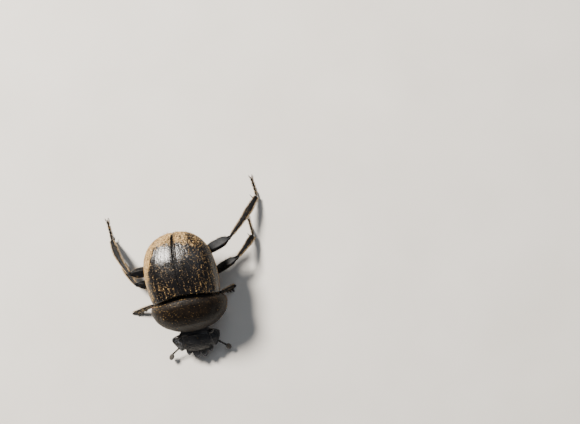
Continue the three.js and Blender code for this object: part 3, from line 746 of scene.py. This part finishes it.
def make_head():
    half = np.array(HEAD_OUTLINE)
    corners = [[(0, HEAD_REAR)], half, [(0, MIDDLE_NOTCH)], half[::-1] * (-1, 1)]
    outline = smooth_loop(np.concatenate(corners), HEAD_COLUMNS)
    outline[:, 1] += TUCK * soft(outline[:, 1], -10.9, -10.2) * soft(-np.abs(outline[:, 0]), -4.4, -3.2)
    ray = outline - HEAD_CENTRE
    oval = np.minimum(1, 1 / np.hypot(*(ray / OVAL_HALF).T))

    def surface(reach, upper):
        """Rings at reaches from 0, the middle, through OVAL, the oval, to 1, the toothed edge."""
        reach = reach[:, None]
        band = held((reach - OVAL) / (1 - OVAL))
        inner = OVAL_SHARE * np.minimum(reach / OVAL, 1)
        plan = HEAD_CENTRE + ray * (oval * inner * (1 - band) + band)[..., None]
        x, y = plan[..., 0], plan[..., 1]
        tau = inner + (1 - OVAL_SHARE) * band
        if not upper:
            return vectors(x, y, head_rim(y) - 0.5 - 1.4 * (1 - tau ** 3))
        crown = 1.5 * ridge(np.minimum(y, HEAD_REAR), HEAD_REAR, 1.5) * (1 - (x / 6.6) ** 2)
        crown = crown * np.minimum(1, 3.3 * (1 - tau) + 0.55)
        turned_up = 0.28 * band ** 2 * held((-13.5 - y) / 2)
        return vectors(x, y, head_rim(y) + 1.35 * (1 - tau ** 2.2) + crown + turned_up)

    reach = np.concatenate([np.linspace(0.03, OVAL, 62), np.linspace(0.815, 1, 20)])
    level = surface(reach, True)
    x, y = level[..., 0], level[..., 1]
    relief = 0.07 * grains(level, 0.38, 0.34) + 0.03 * mottle(level, 0.5)
    relief += 0.025 * np.sin(2 * pi * (y + 0.5 * mottle(level, 1.2, 2)) / 0.45) * held((-13 - y) / 1.5)
    from_edge = (1 - reach[:, None]) * np.linalg.norm(ray, axis=-1)
    relief += lines(from_edge, (0.07, 0.1, 0.1), (-0.06, 0.34, 0.14))
    # The raised line between the cheek and the front shield, from its notch back to the eye.
    start, way = CHEEK_LINE[0], CHEEK_LINE[1] - CHEEK_LINE[0]
    offset = vectors(np.abs(x), y) - start
    share = held(offset @ way / (way @ way))
    suture = np.linalg.norm(offset - share[..., None] * way, axis=-1)
    relief += lines(suture, (0.1, 0, 0.12), (-0.06, 0.28, 0.1))
    relief += 0.1 * ridge(np.abs(x), 1.6, 1.2) * ridge(y, -12.6, 0.3)
    # A little dust and wear, the dust more towards the right, where light falls; the tooth tips and the
    # right cheek are painted grey as highlights.
    dust = -0.06 + 0.08 * mottle(level, 2.0) + 0.08 * soft(-x, 0, 5)
    dust -= 0.12 * soft(-y, 14.9, 16.4) * soft(-from_edge, -0.9, -0.3)
    dust -= 0.5 * soft(-x, 3.2, 5.0) * soft(0.5 + mottle(level, 0.5), 0.4, 0.6)

    low = surface(np.linspace(1, 0.03, 30), False)
    low[..., 2] += 0.03 * mottle(low, 0.8, 2)
    top = raised(level, relief, (0, -13.2, 2))
    build = Build()
    dust = np.concatenate([dust, 0.1 + 0 * low[..., 0]])
    tube(build, stand(np.concatenate([top, low]) + HEAD_ASIDE), dust)
    build.piece("head_shell", HEAD_HORN, "shell", "head")
    return outline


def tilted(radii, *turned):
    """Half-axes of an ellipsoid turned in turn about X, Y and Z, in the standing frame."""
    axes = np.diag(radii).astype(float)
    for axis, angle in zip("XYZ", turned):
        axes = axes @ np.array(Matrix.Rotation(angle, 3, axis)).T
    return axes @ TIP.T


def make_eye(word, side):
    build = Build()
    axes = tilted((0.75, 0.5, 0.6), 0, side * 0.35, side * 0.3)
    ball(build, stand((side * 4.6, -10.85, 6.2) + HEAD_ASIDE), axes, 40, 60)
    build.piece("eye_globe_" + word, EYE_GLOSS, "eye", "eye_" + word)


def beads(build, path, radii, pinch, rings=12):
    """A jointed feeler: one bead between each two points of path, with that half-width at its end."""
    for a, b, radius in zip(path, path[1:], radii):
        swell = profile(
            (0, radius * (1 - pinch)), (0.15, radius * (1 - 0.7 * pinch)), (0.8, radius), (1, radius * 0.7))
        limb = Limb(a, b, LEVEL + (0.01, 0, 0), swell, swell, lambda t, f=swell: 2 * f(t))
        limb.skin(build, rings, 16)


FEELERS = {  # root, elbow, end and club of each antenna
    "left": ((2.8, -12.9, 3), (4.7, -14.6, 3.2), (6.3, -16.1, 2.8), (6.9, -16.8, 2.6)),
    "right": ((-3.8, -12.9, 3), (-6.1, -14.5, 3.2), (-8.5, -16, 2.7), (-9, -16.8, 2.5)),
}


def make_feeler(word):
    root, elbow, end, club = stand(FEELERS[word])
    knee = elbow + (0, 0, 0.05)
    stalk = Build()
    beads(stalk, [root, knee], [0.3], 0.3, rings=20)
    beads(stalk, [knee + (end - elbow) * k / 5 for k in range(6)], [0.28, 0.25, 0.25, 0.26, 0.29], 0.25)
    stalk.piece("antenna_stalk_" + word, FEELER_HORN, "feeler", "antenna_" + word)

    leaves = Build()
    ahead = unit(club - end)
    sideways = unit(np.cross(ahead, LEVEL))
    up = np.cross(sideways, ahead)
    for k in (-1, 0, 1):
        along = unit(ahead + 0.16 * k * up)
        thick = unit(np.cross(sideways, along))
        axes = [along * (0.82 - 0.05 * abs(k)), sideways * (0.66 - 0.03 * abs(k)), thick * 0.16]
        ball(leaves, end + along * 0.85 + up * 0.2 * k, axes, 24, 32, lambda p: 0.02 * mottle(p, 0.15, 2))
    ball(leaves, end + ahead * 0.12, [ahead * 0.2, sideways * 0.2, up * 0.24], 12, 16)
    leaves.piece("antenna_leaves_" + word, CLUB_DOWN, "feeler", "antenna_club_" + word)


PALP = ((2.3, -14.1, 2.75), (2.68, -14.75, 2.72), (2.7, -15.4, 2.72), (2.35, -16.6, 2.72))


def make_mouth():
    def relief(p):
        return 0.05 * mottle(p, 0.7) - 0.12 * ridge(p[..., 0] + STANCE_CENTRE[0] - HEAD_ASIDE[0], 0, 0.1)

    build = Build()
    ball(build, stand((0, -13.5, 2.45) + HEAD_ASIDE), tilted((2.0, 1.9, 0.45), 0.23), 40, 60, relief, 0.1)
    for side in (-1, 1):
        lobe = tilted((0.7, 1.0, 0.4), 0.2, 0, -side * 0.3)
        ball(build, stand((side * 1.7, -14.4, 2.6) + HEAD_ASIDE), lobe, 20, 28, relief)
    build.piece("mouth_plates", UNDER_HORN, "underside", "mouthparts")
    for word, side in SIDES:
        palp = Build()
        beads(palp, stand(np.array(PALP) * (side, 1, 1) + HEAD_ASIDE), [0.2, 0.2, 0.24], 0.4)
        palp.piece("palp_joints_" + word, FEELER_HORN, "feeler", "palp_" + word)


# ---- Legs ----

COXA = {  # middle, half-axes and turn about Z
    "fore": ((3.0, -6.1, 1.5), (1.9, 1.4, 1.2), 0.35),
    "mid": ((4.7, 2.3, 0.75), (1.3, 2.3, 0.8), -0.5),
    "hind": ((4.0, 7.2, 1.2), (3.3, 1.0, 0.85), 0.1),
}
FEMUR = {  # half-widths in front and behind at each quarter of its length, and thickness
    "fore": ((0.5, 1.35, 1.6, 1.2, 0.55), (0.5, 1.2, 1.45, 1.15, 0.55), 2.0),
    "mid": ((0.45, 0.95, 1.15, 1.1, 0.5), (0.45, 0.95, 1.25, 1.15, 0.5), 1.5),
    "hind": ((0.45, 0.95, 1.35, 1.4, 0.6), (0.45, 1.1, 1.5, 1.4, 0.65), 1.9),
}
FEMUR_SKEW = {"left": 0.55, "right": -0.3}  # the thighs of the two sides are rolled differently
TEETH = ((0.42, 0.5), (0.58, 0.85), (0.76, 1.1))  # place along the fore tibia, and size
TOOTH_HALF = 0.09
TOOTH_LEAN = 0.95
TIBIA = {
    "mid": {"half": profile((0, 0.38), (0.5, 0.62), (0.85, 0.8), (1, 0.6)), "thick": (0.65, 0.95),
            "bend": 0.25, "spur": 1.5},
    "hind": {"half": profile((0, 0.36), (0.35, 0.6), (0.65, 0.85), (1, 0.5)), "thick": (0.6, 0.8),
             "bend": 0.45, "spur": 1.6},
}
TARSUS_JOINTS = {"mid": (0, 0.3, 0.48, 0.64, 0.78, 1), "hind": (0, 0.31, 0.49, 0.65, 0.79, 1)}
TARSUS_HALF = {"mid": 0.30, "hind": 0.32}
TARSUS_SAG = 0.33
TARSUS_SWELL = ((0, 0.55), (0.12, 0.62), (0.85, 1), (0.97, 0.9), (1, 0.5))
SPUR_TAPER = ((0, 0.17), (0.3, 0.15), (0.8, 0.08), (1, 0.02))
CLAW_TAPER = ((0, 0.13), (0.4, 0.11), (0.85, 0.05), (1, 0.015))


def quarters(values):
    return profile(*zip((0, 0.25, 0.5, 0.75, 1), values))


def leg_dust(t, angle):
    return 0.04 * np.cos(angle) + 0 * t


def thigh_dust(t, angle):
    """The upper hind face of a thigh is painted grey, a painted highlight where light falls on it."""
    return leg_dust(t, angle) - 0.11 * soft(np.sin(angle), 0, 0.3) * soft(-np.cos(angle), -0.3, 0.1)


def make_coxa(name, pair, side):
    (x, y, z), radii, yaw = COXA[pair]
    build = Build()
    axes = tilted(radii, 0, 0, side * yaw)
    ball(build, stand((side * x, y, z)), axes, 36, 56, lambda p: pitted(p, 0.4, 0.03), 0.12)
    build.piece("coxa_horn_" + name, UNDER_HORN, "underside", "coxa_" + name)


def make_femur(name, pair, joints):
    near, far, thick = FEMUR[pair]
    front, hind = quarters(near), quarters(far)
    swell = profile((0, 0.6), (0.45, 1), (1, 0.5))
    start, end = between(joints["hip"], joints["knee"], 0, 0.02)
    limb = Limb(
        start, end, (0, -1, 0) + 0.15 * LEVEL, lambda t: front(t) * rounded(t),
        lambda t: hind(t) * rounded(t), lambda t: thick * rounded(t) * swell(t), keel=1.6,
        skew=FEMUR_SKEW[name.split("_")[1]],
        relief=lambda points, t, angle: pitted(points, 0.38, 0.03) * 0.7 - 0.05 * ridge(t, 0.14, 0.018),
    )
    build = Build()
    limb.skin(build, 110, 48, thigh_dust if name == "hind_left" else leg_dust)
    for lift in (-1, 1):  # the two knobs of the knee
        middle = end + limb.axis * -0.25 + limb.across * 0.32 * lift
        ball(build, middle, [limb.axis * 0.45, limb.across * 0.25, limb.normal * 0.42], 14, 20)
    build.piece("femur_horn_" + name, LEG_HORN, "leg", "femur_" + name)
    return limb


def tooth(t):
    """The teeth of the fore tibia, and the fine notches before them."""
    most = 0 * t
    for place, size in TEETH:
        most = np.maximum(most, size * held(1 - np.abs(t - place) / TOOTH_HALF) ** 1.1)
    for k in range(5):
        most = np.maximum(most, 0.12 * held(1 - np.abs(t - 0.08 - 0.05 * k) / 0.02))
    return most


def make_fore_tibia(name, joints):
    blade = profile((0, 0.4), (0.2, 0.5), (0.78, 0.6), (0.88, 0.55), (1, 0.25))
    inner = profile((0, 0.4), (0.3, 0.5), (0.8, 0.5), (0.9, 0.35), (1, 0.2))
    start, end = between(joints["knee"], joints["toe"], 0.05, 0)

    def relief(points, t, angle):
        from_top = np.abs(angle - pi / 2)
        spine = 0.09 * ridge(from_top, 0, 0.3) * held(5 * (1 - t)) - 0.06 * ridge(from_top, 0.75, 0.2)
        return 0.02 * mottle(points, 0.6) + spine - 0.02 * grains(points, 0.35, 0.25)

    limb = Limb(
        start, end, (0, -0.75, -0.65), lambda t: blade(t) + tooth(t), inner,
        profile((0, 0.7), (0.3, 0.95), (0.8, 0.8), (1, 0.5)),
        lean=lambda t: TOOTH_LEAN * tooth(t), keel=1.15, relief=relief,
    )
    build = Build()
    limb.skin(build, 300, 40, leg_dust, floor=True)
    build.piece("tibia_blade_" + name, LEG_HORN, "leg", "tibia_" + name)
    return limb


def make_tibia(name, pair, joints, side):
    plan = TIBIA[pair]
    start, end = between(joints["knee"], joints["ankle"], 0.05, 0.12)

    def relief(points, t, angle):
        keels = 0.05 * ridge(np.abs(np.sin(angle)), 0.75, 0.14) * held(5 * t)
        combs = 0.05 * held(np.sin(2 * pi * (t * 7 + 0.06 * np.cos(angle)))) ** 6 * (np.cos(angle) > 0.2)
        return keels + combs + 0.012 * mottle(points, 0.4, 2)

    thin, stout = plan["thick"]
    limb = Limb(
        start, end, (side, -0.5, 0), plan["half"], plan["half"],
        profile((0, thin), (0.9, stout), (1, stout * 0.8)),
        bend=(side * plan["bend"], 0, plan["bend"] * 0.5), keel=1.1, relief=relief,
    )
    build = Build()
    limb.skin(build, 130, 40, leg_dust)
    inwards = np.array([-side, 0, 0])
    root = end + (start - end) * 0.07 + inwards * 0.2
    point = root + joints["heading"] * plan["spur"] + inwards * 0.75
    point[2] = max(0.35, root[2] - 0.5)
    hook(build, root, point, (0, 0, 1), SPUR_TAPER, (side * 0.08, 0, 0), 24)
    build.piece("tibia_horn_" + name, LEG_HORN, "leg", "tibia_" + name)
    return limb


def hook(build, root, point, broad, taper, bend, rings, floor=False):
    """A curved round spine that tapers to its point."""
    half = profile(*taper)
    Limb(root, point, broad, half, half, lambda t: 2 * half(t), bend).skin(build, rings, 14, floor=floor)


def make_tarsus(name, pair, joints):
    ankle, toe = joints["ankle"], joints["toe"]
    t = np.array(TARSUS_JOINTS[pair])[:, None]
    path = ankle + (toe - ankle) * t - (0, 0, 4 * TARSUS_SAG) * t * (1 - t)
    build = Build()
    for k, (a, b) in enumerate(zip(path, path[1:])):
        full = TARSUS_HALF[pair] * (1 - 0.05 * k)
        swell = profile(*((t, full * share) for t, share in TARSUS_SWELL))
        limb = Limb(
            a - unit(b - a) * 0.05, b, (1, 0, 0.01), swell, swell, lambda t: 1.7 * swell(t), keel=1.05)
        limb.skin(build, 22, 20, 0.2, floor=True)
    build.piece("tarsus_joints_" + name, LEG_HORN, "leg", "tarsus_" + name)
    return path


def make_claws(name, joints):
    heading = joints["heading"]
    across = np.cross(heading, (0, 0, 1.0))
    root = joints["toe"] + heading * 0.32
    build = Build()
    for side in (-1, 1):
        point = root + heading * 0.75 + across * side * 0.42
        point[2] = 0.1
        bend = across * side * 0.16 + (0, 0, 0.13)
        hook(build, root - heading * 0.25, point, across, CLAW_TAPER, bend, 22, floor=True)
    build.piece("claw_hooks_" + name, CLAW_HORN, "claw", "claws_" + name)


# ---- Bristles ----

PATCH = 0.003  # width of one bristle's patch on the map of the skin
FEMUR_STRIP, TIBIA_STRIP, TARSUS_STRIP = 0, 0.33, 0.68  # where each part of a leg starts across its map
STRAIGHT = (0, 0, 0)


class Bristles:
    """Many tapering curved hairs joined into one mesh, each mapped to a small patch at its root's place."""

    RINGS = ((0.0, 1.0), (0.4, 0.8), (0.75, 0.5), (1.0, 0.0))  # share of the hair's length, and width there
    FACES = [[2, 1, 0], *quads(3, 3, wrap=True), *([6 + k, 6 + (k + 1) % 3, 9] for k in range(3))]

    def __init__(self):
        self.hairs = []

    def grow(self, roots, ways, lengths, radius, curl, places):
        """Hairs at roots along ways, bending by the vectors curl; places are their map coordinates."""
        count = len(roots)
        self.hairs.append((
            roots, unit(ways), np.broadcast_to(lengths, count), np.broadcast_to(radius, count),
            np.broadcast_to(curl, (count, 3)), np.broadcast_to(places, (count, 2)),
        ))

    def piece(self, name, finish):
        roots, ways, lengths, radius, curl, places = (np.concatenate(part) for part in zip(*self.hairs))
        side = unit(np.cross(ways, np.where(np.abs(ways[:, 2:]) < 0.9, [[0, 0, 1.0]], [[1.0, 0, 0]])))
        other = np.cross(ways, side)
        vertices, patch = [], []
        for level, width in self.RINGS:
            middle = roots + (ways * level + curl * level ** 2) * lengths[:, None]
            middle[:, 2] = np.maximum(middle[:, 2], 0.02)
            for corner in range(3) if width else (1,):
                angle = 2 * pi * corner / 3
                across = (side * cos(angle) + other * sin(angle)) * (radius * width)[:, None]
                vertices.append(middle + across)
                patch.append(places + PATCH * (np.array([corner / 2, level]) - 0.5))
        faces = [[10 * hair + i for i in face] for hair in range(len(roots)) for face in self.FACES]
        mesh = new_piece(name, np.stack(vertices, 1).reshape(-1, 3), faces, finish)
        corners = [i for face in faces for i in face]
        chart = mesh.uv_layers.new(name="OFBake")
        chart.data.foreach_set("uv", np.stack(patch, 1).reshape(-1, 2)[corners].astype(np.float32).ravel())
        mesh.update()


def jitter(count, size):
    return rng.normal(0, size, (count, 3))


def fringe(coat, limb, span, angle, count, length, radius, sweep, strip, spread=0.12):
    """A row of hairs along a limb: between two shares of its length, at an angle round it, and swept by
    that much towards its tip."""
    t = np.sort(rng.uniform(*span, count))
    turn = angle + rng.normal(0, spread, count)
    ways = limb.outwards(t, turn) + limb.axis * sweep + jitter(count, 0.16)
    lengths = length * rng.uniform(0.65, 1.15, count) * (0.6 + 0.4 * np.sqrt(held(4 * t * (1 - t))))
    places = vectors(strip + 0.3 * (turn / (2 * pi) % 1), 0.02 + 0.96 * t)
    coat.grow(limb.surface(t, turn) - ways * 0.03, ways, lengths, radius, limb.axis * 0.25 * sweep, places)


def leg_bristles(name, pair, femur, tibia, path):
    pale, dark = Bristles(), Bristles()
    front, top, hind = 0, pi / 2, pi
    fringe(pale, femur, (0.2, 0.92), front, 46, 0.55, 0.022, 0.7, FEMUR_STRIP)
    fringe(pale, femur, (0.3, 0.95), hind, 54, 0.6, 0.022, 0.7, FEMUR_STRIP)
    fringe(dark, femur, (0.3, 0.9), top, 40, 0.3, 0.018, 1.2, FEMUR_STRIP, 0.5)
    if pair == "fore":
        fringe(pale, tibia, (0.05, 0.95), hind, 110, 0.7, 0.024, 0.9, TIBIA_STRIP)
        fringe(pale, tibia, (0.1, 0.8), top, 60, 0.4, 0.02, 1.4, TIBIA_STRIP, 0.4)
        fringe(dark, tibia, (0.1, 0.95), -top, 60, 0.4, 0.02, 1.2, TIBIA_STRIP, 0.4)
    else:
        dense = 210 if pair == "hind" else 150
        for angle, upwards in ((front, 0.45), (hind, -0.45)):
            fringe(pale, tibia, (0.04, 0.99), angle, dense, 0.7, 0.036, 1.7, TIBIA_STRIP)
            fringe(pale, tibia, (0.04, 0.99), angle + upwards, dense // 2, 0.45, 0.03, 2.2, TIBIA_STRIP)
            fringe(dark, tibia, (0.15, 0.97), angle - 0.35, 14, 0.55, 0.045, 0.9, TIBIA_STRIP, 0.05)
        # A crown of stout spines round the end of the tibia.
        turn, t = turns(13), np.full(13, 0.97)
        ways = tibia.axis + 0.45 * tibia.outwards(t, turn)
        places = vectors(TIBIA_STRIP + 0.3 * turn / (2 * pi), t)
        dark.grow(tibia.surface(t, turn), ways, 0.5, 0.045, STRAIGHT, places)
        for k, (a, b) in enumerate(zip(path, path[1:])):
            way = unit(b - a)
            across = unit(np.cross(way, (0, 0, 1.0)))
            for side in (-1, 1):
                share = rng.uniform(0.15, 1.0, 12)
                roots = a + (b - a) * share[:, None] + across * side * TARSUS_HALF[pair] * 0.75
                ways = way * 1.1 + across * side * 0.9 + jitter(12, 0.2)
                places = vectors(TARSUS_STRIP + 0.12 * (side + 1), 0.02 + 0.19 * (k + share))
                pale.grow(roots, ways, 0.45 * rng.uniform(0.7, 1.2, 12), 0.02, way * 0.2, places)
            under = b + (0, 0, -0.1) + jitter(6, 0.08)
            dark.grow(under, way + jitter(6, 0.25), 0.3, 0.022, STRAIGHT, (0.97, 0.02 + 0.19 * (k + 1)))
    pale.piece("bristles_pale_" + name, PALE_BRISTLE)
    dark.piece("bristles_dark_" + name, DARK_BRISTLE)


def body_bristles(outline):
    coat = Bristles()

    def sprout(roots, ways, unrest, length, radius, curl, places):
        ways = (ways + jitter(len(roots), unrest)) @ TIP.T
        coat.grow(stand(roots), ways, length * rng.uniform(0.6, 1.2, len(roots)), radius, curl, places)

    # Under the side edge of the pronotum, sweeping back.
    for side in (-1, 1):
        s = np.sort(rng.uniform(0.03, 0.97, 150))
        roots = pronotum_surface(s, side * 0.995 + 0 * s) * (0.985, 1, 1) - (0, 0, RIM * 0.8)
        places = vectors(0.25 + side * 0.2, 0.02 + 0.5 * s)
        sprout(roots, (side, 0.6, -0.75), 0.18, 0.75, 0.024, (0, 0.25, -0.2), places)
    # Below the edge of the head.
    front = outline[outline[:, 1] < -11.2]
    pick = front[rng.integers(0, len(front), 260)]
    x, y = (HEAD_CENTRE + (pick - HEAD_CENTRE) * rng.uniform(0.82, 0.93, (260, 1))).T
    ways = vectors(*unit(pick - HEAD_CENTRE).T, -0.9)
    places = vectors(0.75 + x / 30, 0.1 + (y + 18) / 20)
    sprout(vectors(x, y, head_rim(y) - 0.55) + HEAD_ASIDE, ways, 0.2, 0.6, 0.022, (0, -0.1, -0.2), places)
    # Mouth, breast and the sides of the hind breast.
    for centre, spread, count, length, place in (
        (HEAD_ASIDE + (0, -14.2, 2.2), (1.7, 1.0, 0.1), 120, 0.6, (0.6, 0.6)),
        ((0, -8.2, 2.0), (3.5, 0.9, 0.3), 160, 0.8, (0.6, 0.7)),
        ((6.6, -3.4, 2.6), (1.4, 1.6, 0.3), 130, 0.8, (0.7, 0.7)),
        ((-6.6, -3.4, 2.6), (1.4, 1.6, 0.3), 130, 0.8, (0.8, 0.7)),
        ((7.4, 3.4, 2.6), (0.8, 2.4, 0.4), 130, 0.7, (0.7, 0.85)),
        ((-7.4, 3.4, 2.6), (0.8, 2.4, 0.4), 130, 0.7, (0.85, 0.85)),
    ):
        scatter = rng.uniform(-1, 1, (count, 3)) * spread
        ways = (0.25 * np.sign(centre[0]), 0.45, -1.0)
        sprout(centre + scatter, ways, 0.25, length, 0.022, (0, 0.2, 0), place + scatter[:, :2] / 60)
    # A sparse row under the margin of each elytron.
    for side in (-1, 1):
        t = np.sort(rng.uniform(0.05, 0.99, 90))
        roots = elytron_surface(t, 0.99 + 0 * t, side) - (0, 0, RIM)
        places = vectors(0.25 + side * 0.2, 0.55 + 0.43 * t)
        sprout(roots, vectors(side * (1 - t), 0.6 + t, -0.9), 0.15, 0.45, 0.02, (0, 0.1, -0.1), places)
    coat.piece("bristles_body", RUSTY_BRISTLE)


# ---- Camera, light and floor ----

SEEN_FROM_LEFT = radians(13.2)  # how far the view leans from above the back towards the beetle's left
SEEN_FROM_REAR = radians(13)
ROLL = radians(14.5)
DISTANCE = 0.446
LENS = 104  # mm, on a 36 mm sensor
PAN, TILT = radians(3.40), radians(2.62)  # how far the camera aims past the beetle, to the right and above
FLOOR_HALF = 1.5
PAPER = ((0.3, (0.72, 0.69, 0.64)), (0.7, (0.78, 0.75, 0.70)))


def make_camera():
    """The camera, and the directions to the right, down and towards it in its view."""
    lean = cos(SEEN_FROM_LEFT)
    toward = np.array([sin(SEEN_FROM_LEFT), lean * sin(SEEN_FROM_REAR), lean * cos(SEEN_FROM_REAR)])
    ahead = np.array([0, -1, 0.0])
    ahead = unit(ahead - toward * (ahead @ toward))
    left = np.cross(ahead, toward)
    left *= np.sign(left[0])
    right = TIP @ (cos(ROLL) * left + sin(ROLL) * ahead)
    down = TIP @ (cos(ROLL) * ahead - sin(ROLL) * left)
    toward = TIP @ toward
    aim = unit([-tan(PAN), -tan(TILT), -1])
    aside = unit((1, 0, 0) - aim * aim[0])
    turn = vectors(right, down, -toward) @ vectors(aside, np.cross(aim, aside), aim).T
    camera = link("camera", bpy.data.cameras.new("camera"))
    camera.data.lens = LENS
    camera.data.clip_start = 0.01
    place = Vector(stand((0, 0, 0)) * MM + toward * DISTANCE)
    camera.matrix_world = Matrix.Translation(place) @ Matrix(turn.tolist()).to_4x4()
    bpy.context.scene.camera = camera
    return right, down, toward


def lamp(name, way, distance, size, power, colour):
    light = bpy.data.lights.new(name, "AREA")
    light.shape, light.size = "DISK", size
    light.energy, light.color = power, colour
    made, way = link(name, light), unit(way)
    made.location = way * distance
    made.rotation_euler = Vector(-way).to_track_quat("-Z", "Y").to_euler()


def make_lights(right, down, toward):
    lamp("key", -0.68 * right - 0.47 * down + 0.58 * toward, 0.7, 0.2, 17, (1, 0.94, 0.86))
    lamp("sky", 0.1 * right - 0.5 * down + toward, 0.8, 0.6, 1, (0.82, 0.9, 1))
    lamp("fill", 0.9 * right + 0.5 * down + 0.5 * toward, 0.8, 0.5, 0.35, (1, 0.97, 0.93))
    world = bpy.data.worlds.new("studio")
    bpy.context.scene.world = world
    world.use_nodes = True
    sky = world.node_tree.nodes["Background"].inputs
    sky["Color"].default_value = (0.85, 0.9, 1, 1)
    sky["Strength"].default_value = 0.12


def make_floor():
    mesh = bpy.data.meshes.new("floor")
    corners = [(x * FLOOR_HALF, y * FLOOR_HALF, 0) for x, y in ((-1, -1), (1, -1), (1, 1), (-1, 1))]
    mesh.from_pydata(corners, [], [(0, 1, 2, 3)])
    paper = Finish("floor_paper", Roughness=0.85)
    paper.set(Base_Color=paper.ramp(paper.noise(25, 3), *PAPER))
    mesh.materials.append(paper.material)
    link("floor", mesh)


# ---- Put together ----

make_pronotum()
make_waist()
make_prosternum()
make_belly()
head_edge = make_head()
make_mouth()
for word, side in SIDES:
    make_elytron(word, side)
    make_eye(word, side)
    make_feeler(word)

for name, given in LEGS.items():
    pair, word = name.split("_")
    side = 1 if word == "left" else -1
    words = ("hip", "knee", "toe") if pair == "fore" else ("hip", "knee", "ankle", "toe")
    joints = {word: np.array(joint) - STANCE_CENTRE for word, joint in zip(words, given)}
    make_coxa(name, pair, side)
    femur = make_femur(name, pair, joints)
    if pair == "fore":
        leg_bristles(name, pair, femur, make_fore_tibia(name, joints), [])
        continue
    joints["heading"] = unit((joints["toe"] - joints["ankle"]) * (1, 1, 0))
    tibia = make_tibia(name, pair, joints, side)
    path = make_tarsus(name, pair, joints)
    make_claws(name, joints)
    leg_bristles(name, pair, femur, tibia, path)
body_bristles(head_edge)

make_lights(*make_camera())
make_floor()
